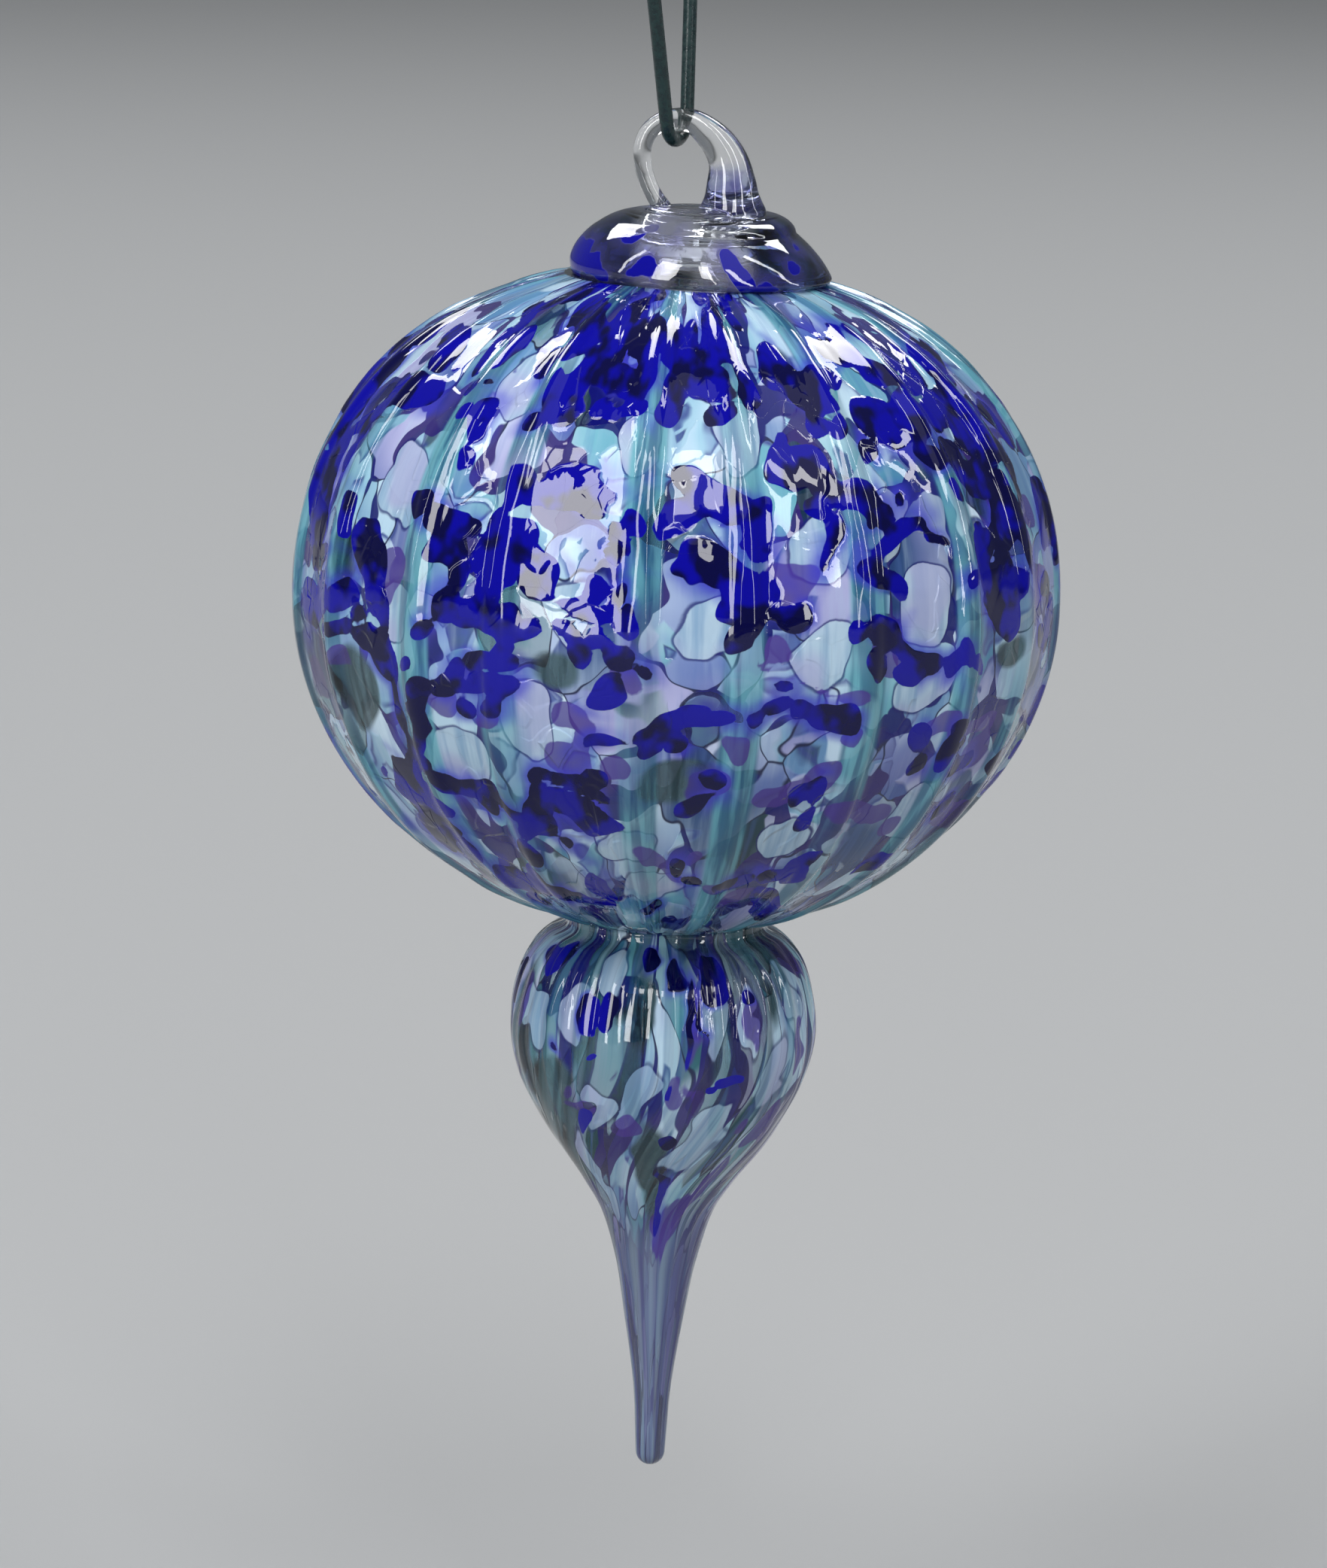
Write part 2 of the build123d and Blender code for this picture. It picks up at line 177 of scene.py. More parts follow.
VIOLET_CHIPS = [
    (70, 12, 3, 1.6), (17, 8.5, 3, 1.8), (-47, 6, 3, 3), (71, 4, 3, 1.6), (15, 2, 1.2, 1.6),
    (33, -0.5, 2.4, 1.3), (-6, -2, 1.5, 1.3), (20, -2, 6, 0.3), (-58, -4, 2, 1.2), (-36, -6, 2.2, 1.4),
    (-14, -6.5, 3, 1.2), (-28, -7, 1.8, 0.9), (26, -7.5, 1.8, 1.1), (-72, -8, 4, 2), (43, -8, 2.5, 1),
    (-12, -8.5, 1.2, 2), (9, -9, 1, 1), (52, -9, 4.5, 1), (-15, -11, 4, 1.8), (-8, -11, 2, 1.2),
    (56, -12, 3, 1.5), (24, -12.5, 2.8, 1.8), (5, -13.5, 3, 1.4), (17, -14, 4, 0.9, 0.25),
    (34, -17, 5, 1.2, 0.1), (42, -19, 2, 0.9), (60, -19.5, 5, 1.3), (6, -21, 1.2, 0.7), (-1, -22, 5, 1.1),
    (9, -25, 2, 0.8), (15, -27, 3, 0.8),
]
PALE_CHIPS = [                        # large milky petals with a dark border
    (5, 3.4, 4.6, 2.7), (22, 0.6, 5.2, 3.2, 0.1), (22, 10.6, 3.6, 3), (-34, -11.6, 5, 3.7, 0.2),
    (-21.5, -7, 4, 3.7), (38, 5, 4.6, 3.4), (-48, 15, 5, 3.8), (-8, -19.8, 5, 2, 0.1),
    (20, -18.4, 4.6, 2.3, 0.1), (-2, -25, 6, 1.5), (45, -17.5, 5, 2.8), (-33, 24.5, 3.6, 2.6),
    (-6, 20.6, 3.6, 2.6), (10, 21.4, 3.4, 2.6), (40, -3.4, 4.6, 2), (-45, 2, 3.6, 2.8), (-16, 4.6, 3, 3.2),
]
# clear windows with their own olive to teal tint, darkened as painted darkness of the background seen through
# them
DARK_WINDOW_CHIPS = [                       # dark clear windows, olive to teal
    (-55, -7.4, 4.5, 4.6, 0.1), (1, -12.4, 5.5, 2.2, 0), (-17.6, -1.6, 4.5, 1.8, 0.1),
    (44.5, 18.5, 3.5, 2.4, 0), (23, 27.7, 3, 1.4, 0), (-46, -24, 2.4, 4.2, 0), (-58, 6, 2.5, 3, 0),
    (58, -1, 3.5, 1.8, 0.2),
]

# the same on the finial and the dome, where half widths are degrees of a smaller circle
SMALL_R = 13.0
FINIAL_COBALT = [
    (-6, -37, 4, 0.7), (-58, -37.5, 9, 1), (4, -38, 4, 2.2, 0), (21, -38.5, 5, 2.4, 0),
    (35, -40.5, 3, 1, 0), (-20, -42, 5, 2.4, 0), (-29, -42.5, 5, 2.6, 0), (10, -43, 1, 2.5, 0),
    (15, -44, 1, 2.6, 0), (-44, -46.5, 1.5, 1), (-24, -47, 4, 0.6, 0), (26, -49, 5, 1, 0.3),
    (20, -50, 3.5, 0.6, 0), (3, -50, 2, 1, 0), (-36, -55, 4, 1.4, 0), (3, -56, 4, 1.2, 0),
    (1, -63, 5, 2.6, -0.2),
]
FINIAL_VIOLET = [
    (75, -38.5, 6, 2, 0), (-66, -43, 4, 2.5, 0), (37, -43, 3, 2.4, 0), (12, -43, 2, 3, 0),
    (62, -47.5, 4, 2.5, 0), (-20, -48.5, 1.5, 1.6, 0), (5, -50, 4, 1.8, 0), (12, -51, 2, 2, 0),
    (-36, -51, 5, 1.2, 0), (-36, -53, 5, 1.2, 0), (-13, -54.5, 5, 1.2, 0), (36, -54.5, 5, 1.8, -0.4),
    (54, -55.5, 6, 2.4, -0.4), (33, -62, 5, 3.6, -0.5), (14, -66.5, 5, 3.6, -0.5), (-4, -66.5, 4, 1, 0),
]
FINIAL_PALE = [
    (-56, -43.6, 8.5, 3, 0), (-35, -42.6, 5.5, 3, 0), (-9, -50.6, 5, 2.8, -0.4), (-26, -53.6, 6, 2.6, -0.2),
    (17, -57, 7.5, 4.4, -0.6), (46, -50.2, 6, 4, -0.2), (35, -42.8, 3.6, 3.2, 0), (19, -44.2, 4.2, 3.4, 0),
    (-24, -38.4, 6.5, 1.6, 0), (-42, -61, 5.5, 5.5, 0.2), (60, -44, 3.2, 3.6, 0),
]
# clear windows on the finial, darkened as painted darkness of the background seen through them
FINIAL_DARK_WINDOWS = [
    (-50, -52.5, 15, 5, -0.3), (-66, -46, 9, 6, 0), (-33, -44, 5, 4, 0), (-8, -41.5, 6.5, 4.2, 0),
    (-4, -60, 9.5, 6.5, 0), (-62, -59, 22, 4, 0), (20, -44, 2.6, 4, 0), (46, -41, 3, 3, 0),
]
DOME_COBALT = [
    (-80, 35.3, 15, 1.9), (-58, 34.4, 10, 1.1), (-105, 37, 14, 1.2), (-30, 35, 6, 0.8),
    (14, 35.4, 6.5, 1.4), (27, 34, 8, 0.8), (48, 35.6, 4, 0.8), (62, 37.8, 4, 0.6), (-35, 38.6, 7, 0.5),
    (96, 34.6, 9, 1.2), (130, 37.6, 15, 1.3), (165, 36, 12, 1.4), (205, 38.2, 13, 1.1),
    (235, 35.8, 10, 1.5),
]


# ---------------------------------------------------------------- small helpers
def ripples(points, wavelength, seed, waves=14):
    """Smooth random field with a spread of about 1, made of sine waves in random directions."""
    rng = np.random.default_rng(seed)
    directions = rng.normal(size=(waves, 3))
    directions /= np.linalg.norm(directions, axis=1)[:, None]
    lengths = wavelength * rng.uniform(0.7, 1.5, waves)
    phases = rng.uniform(0, 2 * np.pi, waves)
    field = np.sin(points @ (directions / lengths[:, None]).T * 2 * np.pi + phases)
    return field.sum(axis=1) / math.sqrt(waves / 2)


def step_up(value, low, high):
    """Smooth step from 0 at low to 1 at high."""
    t = np.clip((value - low) / (high - low), 0, 1)
    return t * t * (3 - 2 * t)


def superellipse(radius, half, power, z):
    """Radius at height z of a squashed ball, of a given radius and half height."""
    return radius * np.clip(1 - np.abs(z / half) ** power, 0, 1) ** (1 / power)


def globe_radius(z):
    """Radius of the globe's outer skin at height z, never narrower than its neck."""
    top = superellipse(GLOBE_R, TOP_HALF, TOP_POWER, z)
    bottom = np.maximum(superellipse(GLOBE_R, BOTTOM_HALF, BOTTOM_POWER, z), NECK_R)
    return np.where(z > 0, top, bottom)


def even_profile(radius, z, rows):
    """The profile resampled at even arc lengths: radius, z, and the arc length of each row."""
    arc = np.concatenate([[0], np.cumsum(np.hypot(np.diff(radius), np.diff(z)))])
    even = np.linspace(0, arc[-1], rows)
    return np.interp(even, arc, radius), np.interp(even, arc, z), even


def smooth_curve(knots, count):
    """Points along a smooth curve through the knots, each a tuple of numbers."""
    knots = np.array(knots, float)
    gaps = np.linalg.norm(np.diff(knots[:, :2], axis=0), axis=1)
    at = np.concatenate([[0], np.cumsum(gaps)])
    slopes = np.gradient(knots, at, axis=0)
    t = np.linspace(0, at[-1], count)
    i = np.clip(np.searchsorted(at, t, side="right") - 1, 0, len(at) - 2)
    h = (at[i + 1] - at[i])[:, None]
    u = ((t - at[i])[:, None]) / h
    return ((2 * u**3 - 3 * u**2 + 1) * knots[i] + (u**3 - 2 * u**2 + u) * h * slopes[i]
            + (-2 * u**3 + 3 * u**2) * knots[i + 1] + (u**3 - u**2) * h * slopes[i + 1])


def around(columns):
    """Even bearings all round."""
    return np.linspace(0, 360, columns, endpoint=False)


def turned(radius, z, bearings):
    """Grid of points of a surface of revolution, rows by columns by 3."""
    angle = np.radians(bearings)
    x = radius * np.sin(angle)
    y = -radius * np.cos(angle)
    return np.stack([x, y, np.broadcast_to(z, x.shape)], axis=-1)


def ring_faces(rows, columns, start=0, inward=False):
    """Quads of a grid that closes round; its rows run upwards and its columns to the right."""
    a = start + np.arange(rows - 1)[:, None] * columns + np.arange(columns)[None]
    b = start + np.arange(rows - 1)[:, None] * columns + (np.arange(columns)[None] + 1) % columns
    quads = np.stack([a, b, b + columns, a + columns], axis=-1).reshape(-1, 4)
    return (quads[:, ::-1] if inward else quads).tolist()


def bridge(outer_start, outer_count, inner_start, inner_count, upward):
    """Triangles and quads of a flat ring between two loops of different counts."""
    faces = []
    i = j = 0
    while i < outer_count or j < inner_count:
        o0, o1 = outer_start + i % outer_count, outer_start + (i + 1) % outer_count
        n0, n1 = inner_start + j % inner_count, inner_start + (j + 1) % inner_count
        if j >= inner_count or (i < outer_count and (i + 1) / outer_count <= (j + 1) / inner_count):
            face = (o0, o1, n0)
            i += 1
        else:
            face = (o0, n1, n0)
            j += 1
        faces.append(face if upward else face[::-1])
    return faces


def make_piece(name, points, faces, body, materials, stands_for=(), fields=None, face_slots=None):
    """A smooth mesh piece from points in mm about the globe's centre, riding on a body."""
    mesh = bpy.data.meshes.new(name)
    mesh.from_pydata((np.asarray(points) * MM + np.array(GLOBE)).tolist(), [], faces)
    for material in materials:
        mesh.materials.append(material)
    if face_slots is not None:
        mesh.polygons.foreach_set("material_index", face_slots)
    mesh.polygons.foreach_set("use_smooth", [True] * len(mesh.polygons))
    for field, values in (fields or {}).items():
        values = np.asarray(values, np.float32)
        kind, key = ("FLOAT_VECTOR", "vector") if values.ndim == 2 else ("FLOAT", "value")
        mesh.attributes.new(field, kind, "POINT").data.foreach_set(key, values.ravel())
    mesh.validate()
    piece = bpy.data.objects.new(name, mesh)
    bpy.context.scene.collection.objects.link(piece)
    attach(piece, body)
    if stands_for:
        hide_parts(*stands_for)
    return piece


# ---------------------------------------------------------------- colour chips on the glass
NO_CHIP = -9.0


def chip_field(chips, bearing, height, warp, radius=GLOBE_R, roundness=2.3):
    """Distance inside the nearest chip's edge, in mm, negative outside it."""
    field = np.full(bearing.shape, NO_CHIP)
    for index, (at, level, half_deg, half_height, *tilt) in enumerate(chips):
        half_width = math.radians(half_deg) * radius
        lean = tilt[0] if tilt else 0.4 * math.sin(index * 2.4)
        turn = (bearing - at + 180) % 360 - 180
        x, y = np.radians(turn) * radius + warp[0], height - level + warp[1]
        across = x * math.cos(lean) + y * math.sin(lean)
        up = y * math.cos(lean) - x * math.sin(lean)
        reach = np.abs(across / half_width) ** roundness + np.abs(up / half_height) ** roundness
        field = np.maximum(field, (1 - reach ** (1 / roundness)) * min(half_width, half_height, 3.0))
    return field


def back_chips(count, seed, half_deg, half_height, low, high):
    """Chips scattered over the bearings that the listed ones don't reach."""
    rng = np.random.default_rng(seed)
    return [(rng.uniform(BACK_START, BACK_END), rng.uniform(low, high),
             rng.uniform(*half_deg), rng.uniform(*half_height)) for _ in range(count)]


def with_crumbs(chips, seed):
    """The chips and, beside some of them, small crumbs that broke off."""
    rng = np.random.default_rng(seed)
    crumbs = []
    for at, level, half_deg, half_height, *_ in chips:
        for _ in range(rng.integers(0, 3)):
            turn = rng.uniform(0, 2 * math.pi)
            size = rng.uniform(0.4, 1.0)
            crumb_at = at + math.cos(turn) * (half_deg + 2.5)
            crumb_level = level + math.sin(turn) * (half_height + 1.6)
            crumbs.append((crumb_at, crumb_level, size * 1.9, size))
    return chips + crumbs


# ---------------------------------------------------------------- node helpers
def node(tree, kind, settings=None, **inputs):
    """Adds a node; inputs are sockets to link or plain values, spaces in names written as _."""
    made = tree.nodes.new(kind)
    for key, value in (settings or {}).items():
        setattr(made, key, value)
    for key, value in inputs.items():
        socket = made.inputs[int(key[1:])] if key[0] == "i" and key[1:].isdigit() \
            else made.inputs[key.replace("_", " ")]
        if isinstance(value, bpy.types.NodeSocket):
            tree.links.new(value, socket)
        else:
            socket.default_value = value
    return made


def maths(tree, operation, a, b=0.0, clamp=False):
    """One sum of two numbers or sockets."""
    return node(tree, "ShaderNodeMath", {"operation": operation, "use_clamp": clamp}, i0=a, i1=b).outputs[0]


def vector_maths(tree, operation, a, b):
    """One sum of two vectors or sockets."""
    return node(tree, "ShaderNodeVectorMath", {"operation": operation}, i0=a, i1=b).outputs[0]


def ease(tree, value, low, high, start=0.0, end=1.0):
    """Smooth step of value between low and high, from start to end."""
    settings = {"interpolation_type": "SMOOTHSTEP"}
    return node(tree, "ShaderNodeMapRange", settings, i0=value, i1=low, i2=high, i3=start, i4=end).outputs[0]


def mix(tree, factor, a, b, blend="MIX"):
    """Colour mix; a and b are colours or sockets."""
    made = node(tree, "ShaderNodeMix", {"data_type": "RGBA", "blend_type": blend})
    for index, value in ((0, factor), (6, a), (7, b)):
        if isinstance(value, bpy.types.NodeSocket):
            tree.links.new(value, made.inputs[index])
        else:
            made.inputs[index].default_value = value
    return made.outputs[2]


def steps(tree, value, stops):
    """Colour picked by the value: each stop's colour lasts up to the next stop."""
    made = node(tree, "ShaderNodeValToRGB", i0=value)
    made.color_ramp.interpolation = "CONSTANT"
    while len(made.color_ramp.elements) < len(stops):
        made.color_ramp.elements.new(0.5)
    for element, (position, colour) in zip(made.color_ramp.elements, stops):
        element.position = position
        element.color = colour
    return made.outputs[0]


def field_of(tree, name, vector=False):
    """A field that the mesh carries."""
    made = node(tree, "ShaderNodeAttribute", {"attribute_name": name})
    return made.outputs["Vector" if vector else "Fac"]


def noise(tree, where, scale, detail=2.0, output="Fac"):
    """Cloudy noise, from about 0.3 to 0.7."""
    return node(tree, "ShaderNodeTexNoise", Vector=where, Scale=scale, Detail=detail).outputs[output]


def shader(name, **values):
    """A material with one Principled BSDF; values are plain numbers or colours."""
    material = bpy.data.materials.new(name)
    material.use_nodes = True
    tree = material.node_tree
    tree.nodes.clear()
    principled = tree.nodes.new("ShaderNodeBsdfPrincipled")
    output = tree.nodes.new("ShaderNodeOutputMaterial")
    tree.links.new(principled.outputs[0], output.inputs["Surface"])
    for key, value in values.items():
        principled.inputs[key.replace("_", " ")].default_value = value
    return material, tree, principled


# ---------------------------------------------------------------- glass with melted frit
COBALT = (0.001, 0.0005, 0.20, 1)
NAVY = (0.0005, 0.0005, 0.03, 1)
VIOLET = (0.045, 0.022, 0.19, 1)
TEAL = (0.09, 0.28, 0.34, 1)
PETAL_TONES = [
    (0.00, (0.23, 0.41, 0.52, 1)), (0.17, (0.11, 0.16, 0.36, 1)), (0.26, (0.12, 0.33, 0.40, 1)),
    (0.41, (0.43, 0.56, 0.66, 1)), (0.55, (0.30, 0.31, 0.50, 1)), (0.64, (0.03, 0.07, 0.17, 1)),
    (0.72, (0.22, 0.38, 0.49, 1)), (0.91, (0.012, 0.04, 0.055, 1)),
]
FINIAL_TONES = [
    (0.00, (0.19, 0.38, 0.46, 1)), (0.20, (0.006, 0.045, 0.055, 1)), (0.38, (0.33, 0.47, 0.57, 1)),
    (0.54, (0.07, 0.23, 0.28, 1)), (0.66, (0.25, 0.24, 0.43, 1)), (0.78, (0.012, 0.07, 0.085, 1)),
    (0.90, (0.25, 0.40, 0.48, 1)),
]


def petal_space(tree, space, size):
    """Frit space warped so that the cells get rounded uneven edges, in cells of about size mm."""
    slow = vector_maths(tree, "SUBTRACT", noise(tree, space, 0.10, 0.0, "Color"), (0.5, 0.5, 0.5))
    quick = vector_maths(tree, "SUBTRACT", noise(tree, space, 0.40, 0.0, "Color"), (0.5, 0.5, 0.5))
    warped = vector_maths(tree, "ADD", space, vector_maths(tree, "MULTIPLY", slow, (8.0, 8.0, 8.0)))
    warped = vector_maths(tree, "ADD", warped, vector_maths(tree, "MULTIPLY", quick, (1.6, 1.6, 1.6)))
    return vector_maths(tree, "MULTIPLY", warped, (1 / size, 1 / size, 0.9 / size))


def petals(tree, space, size):
    """Cells of melted frit: the Voronoi node, each cell's lean across the glass, and its edge distance."""
    where = petal_space(tree, space, size)
    cells = node(tree, "ShaderNodeTexVoronoi", Vector=where, Scale=1.0)
    edges = node(tree, "ShaderNodeTexVoronoi", {"feature": "DISTANCE_TO_EDGE"}, Vector=where, Scale=1.0)
    offset = vector_maths(tree, "SUBTRACT", where, cells.outputs["Position"])
    lean = vector_maths(tree, "SUBTRACT", cells.outputs["Color"], (0.5, 0.5, 0.5))
    tilt = node(tree, "ShaderNodeVectorMath", {"operation": "DOT_PRODUCT"}, i0=offset,
                i1=lean).outputs["Value"]
    return cells, tilt, edges.outputs["Distance"]


def petal_height(tree, cells, tilt):
    """Relief of the petals: each one is a tilted pad with a crown, in units of its own size."""
    return maths(tree, "ADD", tilt, maths(tree, "MULTIPLY", cells.outputs["Distance"], -0.3))


def petal_tone(tree, cells, tilt, tones):
    """Colour of the petals, with painted light on the raised side of each one and painted shade on the other.
    """
    chance = node(tree, "ShaderNodeSeparateColor", i0=cells.outputs["Color"])
    tone = steps(tree, chance.outputs[0], tones)
    # painted shade: the lowered side of each tilted petal is darkened
    tone = mix(tree, ease(tree, tilt, 0.03, -0.20, 0.0, 0.9), tone, (0.36, 0.46, 0.68, 1), "MULTIPLY")
    # painted light: the raised side of each tilted petal is lightened
    tone = mix(tree, ease(tree, tilt, 0.0, 0.2, 0.0, 0.5), tone, (0.46, 0.56, 0.66, 1))
    return tone, chance


def petal_layers(tree, space, petal_size, tones):
    """Pale petals with two layers of smaller ones over them: tone, relief, edge distance and a chance."""
    cells, tilt, edge = petals(tree, space, petal_size)
    tone, chance = petal_tone(tree, cells, tilt, tones)
    relief = maths(tree, "MULTIPLY", petal_height(tree, cells, tilt), 0.30)
    for shift, size, share, cover in (((31, 17, 5), 0.72, 0.42, 0.85), ((7, 53, 41), 0.50, 0.30, 0.75)):
        shifted = vector_maths(tree, "ADD", space, shift)
        cells_over, tilt_over, edge_over = petals(tree, shifted, petal_size * size)
        tone_over, chance_over = petal_tone(tree, cells_over, tilt_over, tones)
        shown = maths(tree, "MULTIPLY", ease(tree, chance_over.outputs[1], share, share - 0.01),
                      ease(tree, edge_over, 0.03, 0.09))
        # painted shade: a dark rim along the lowered edge of each overlying petal
        rim_shade = maths(tree, "MULTIPLY", shown, ease(tree, edge_over, 0.17, 0.08, 0.0, 0.9))
        rim_shade = maths(tree, "MULTIPLY", rim_shade, ease(tree, tilt_over, 0.04, -0.08))
        tone = mix(tree, maths(tree, "MULTIPLY", shown, cover), tone, tone_over)
        tone = mix(tree, rim_shade, tone, (0.03, 0.05, 0.19, 1))
        over = maths(tree, "ADD", maths(tree, "MULTIPLY", tilt_over, 0.25), 0.035)
        relief = maths(tree, "ADD", relief, maths(tree, "MULTIPLY", shown, over))
    return tone, relief, edge, chance


def with_streaks(tree, tone, drawn, milk, streaks):
    """Streaks drawn along the meridians, and cloudy lavender."""
    tone = mix(tree, ease(tree, drawn, 0.50, 0.70, 0.0, streaks), tone, (0.32, 0.43, 0.56, 1))
    tone = mix(tree, ease(tree, drawn, 0.48, 0.30, 0.0, streaks), tone, (0.06, 0.12, 0.32, 1))
    return mix(tree, ease(tree, milk, 0.54, 0.70, 0.0, 0.35), tone, (0.20, 0.20, 0.42, 1))


def with_seams(tree, tone, space, edge):
    """Dark lines where petals meet, swelling here and there into cobalt and violet seams."""
    swell = ease(tree, noise(tree, space, 0.15, 1.0), 0.42, 0.70, 0.008, 0.15)
    line = ease(tree, maths(tree, "SUBTRACT", swell, edge), -0.008, 0.006)
    patch = ease(tree, noise(tree, space, 0.08), 0.44, 0.52)
    seam = mix(tree, patch, (0.022, 0.012, 0.11, 1), (0.001, 0.001, 0.10, 1))
    seam = mix(tree, ease(tree, swell, 0.040, 0.012), seam, (0.008, 0.012, 0.045, 1))
    return mix(tree, maths(tree, "MULTIPLY", line, 0.95), tone, seam)


def with_dark_windows(tree, tone, dark_window, drawn):
    """Windows of clear glass tinted teal to olive, and darkened as painted darkness of the background seen
    through them.
    """
    # painted darkness of the background seen through the windows, over their own teal tint
    dusk = mix(tree, ease(tree, drawn, 0.40, 0.60), (0.010, 0.042, 0.045, 1), (0.06, 0.12, 0.14, 1))
    return mix(tree, maths(tree, "MULTIPLY", dark_window, 0.88), tone, dusk)


def with_pads(tree, tone, pale_edge, solid_pale, drawn, milk, pads):
    """Large milky petals with a dark border."""
    tone = mix(tree, ease(tree, pale_edge, -0.34, -0.12, 0.0, pads), tone, (0.006, 0.008, 0.10, 1))
    pad = mix(tree, ease(tree, drawn, 0.36, 0.62), (0.20, 0.32, 0.44, 1), (0.34, 0.46, 0.55, 1))
    pad = mix(tree, ease(tree, milk, 0.46, 0.60, 0.0, 0.7), pad, (0.30, 0.31, 0.48, 1))
    return mix(tree, maths(tree, "MULTIPLY", solid_pale, pads), tone, pad)


def with_point(tree, tone, space):
    """The drawn point, where the colours run together into milky periwinkle stripes."""
    stripe = noise(tree, vector_maths(tree, "MULTIPLY", space, (1.0, 1.0, 0.04)), 0.11, 2.0)
    milky = mix(tree, ease(tree, stripe, 0.42, 0.58), (0.055, 0.06, 0.15, 1), (0.13, 0.165, 0.23, 1))
    milky = mix(tree, ease(tree, stripe, 0.60, 0.70), milky, (0.035, 0.12, 0.15, 1))
    return mix(tree, maths(tree, "MULTIPLY", field_of(tree, "drawn"), 0.85), tone, milky)


def with_ribs(tree, tone, space, rib, drawn, rib_tint):
    """Teal tint of the thicker ribs."""
    patch = ease(tree, noise(tree, space, 0.06), 0.40, 0.56, 0.3, 1.0)
    tint = maths(tree, "MULTIPLY", ease(tree, rib, 0.25, 0.50), patch)
    teal = mix(tree, ease(tree, drawn, 0.42, 0.60), (0.02, 0.10, 0.17, 1), TEAL)
    return mix(tree, maths(tree, "MULTIPLY", tint, rib_tint), tone, teal)


def with_chips(tree, tone, space, jitter, cobalt_edge, solid_cobalt, haze_reach):
    """Violet and cobalt chips, the cobalt with a soft haze on one side where it lies deeper."""
    violet_edge = maths(tree, "ADD", field_of(tree, "violet"), jitter)
    solid_violet = ease(tree, violet_edge, -0.06, 0.10)
    tone = mix(tree, maths(tree, "MULTIPLY", solid_violet, 0.85), tone, VIOLET)
    deep = ease(tree, noise(tree, space, 0.12), 0.46, 0.60)
    haze = maths(tree, "MULTIPLY", ease(tree, cobalt_edge, -haze_reach, 0.1), deep)
    tone = mix(tree, maths(tree, "MULTIPLY", haze, 0.8), tone, (0.03, 0.03, 0.36, 1))
    shade = mix(tree, ease(tree, noise(tree, space, 0.24), 0.45, 0.58), COBALT, NAVY)
    return mix(tree, solid_cobalt, tone, shade)


def frit_glass(name, tones, petal_size, clearness, windows, rib_tint, streaks, pads, haze_reach):
    """Glossy glass with pale petals, cobalt and violet chips, teal along the ribs.

    Clearness is how much light passes everywhere, windows the share of the petals that pass more. Rib_tint,
    streaks and pads are strengths, from 0 to 1. Haze_reach is how far haze spreads from a cobalt chip, in mm.
    """
    material, tree, principled = shader(name, Roughness=0.015, IOR=1.50, Specular_IOR_Level=0.36)
    space = field_of(tree, "frit_space", vector=True)
    rib = field_of(tree, "rib")
    drawn = noise(tree, vector_maths(tree, "MULTIPLY", space, (1.0, 1.0, 0.10)), 0.75, 3.0)
    milk = noise(tree, space, 0.09, 2.0)
    jitter = maths(tree, "MULTIPLY", maths(tree, "SUBTRACT", noise(tree, space, 0.26, 1.0), 0.5), 2.2)
    dark_window = ease(tree, field_of(tree, "dark_window"), -0.3, 0.5)
    pale_edge = maths(tree, "ADD", field_of(tree, "pale"), jitter)
    solid_pale = ease(tree, pale_edge, -0.08, 0.04)
    cobalt_edge = maths(tree, "ADD", field_of(tree, "cobalt"), jitter)
    solid_cobalt = ease(tree, cobalt_edge, -0.02, 0.06)

    tone, relief, edge, chance = petal_layers(tree, space, petal_size, tones)
    tone = with_streaks(tree, tone, drawn, milk, streaks)
    tone = with_seams(tree, tone, space, edge)
    tone = with_dark_windows(tree, tone, dark_window, drawn)
    tone = with_pads(tree, tone, pale_edge, solid_pale, drawn, milk, pads)
    tone = with_point(tree, tone, space)
    tone = with_ribs(tree, tone, space, rib, drawn, rib_tint)
    tone = with_chips(tree, tone, space, jitter, cobalt_edge, solid_cobalt, haze_reach)
    tree.links.new(tone, principled.inputs["Base Color"])

    # clear windows, and chips that let a little light through
    window = ease(tree, chance.outputs[2], windows, windows - 0.01)
    see = maths(tree, "ADD", clearness, maths(tree, "MULTIPLY", window, 0.42))
    see = maths(tree, "ADD", see, maths(tree, "MULTIPLY", dark_window, 0.35))
    see = maths(tree, "SUBTRACT", see, maths(tree, "MULTIPLY", solid_pale, 0.6), clamp=True)
    see = maths(tree, "ADD", see, maths(tree, "MULTIPLY", rib, 0.10), clamp=True)
    see = node(tree, "ShaderNodeMix", i0=solid_cobalt, i2=see, i3=0.03).outputs[0]
    tree.links.new(see, principled.inputs["Transmission Weight"])

    # crisp steps between petals and chips on the outer skin, and little relief on the ribs
    relief = maths(tree, "ADD", relief, maths(tree, "MULTIPLY", ease(tree, cobalt_edge, -0.2, 0.2), 0.02))
    relief = maths(tree, "MULTIPLY", relief, ease(tree, rib, 0.10, 0.45, 1.0, 0.12))
    bump = node(tree, "ShaderNodeBump", Strength=1.0, Distance=MM, Height=relief)
    tree.links.new(bump.outputs[0], principled.inputs["Normal"])
    return material


def about_globe(tree):
    """Place on the piece in mm about the globe's centre."""
    where = vector_maths(tree, "SUBTRACT", node(tree, "ShaderNodeTexCoord").outputs["Object"], tuple(GLOBE))
    return vector_maths(tree, "MULTIPLY", where, (1 / MM, 1 / MM, 1 / MM))


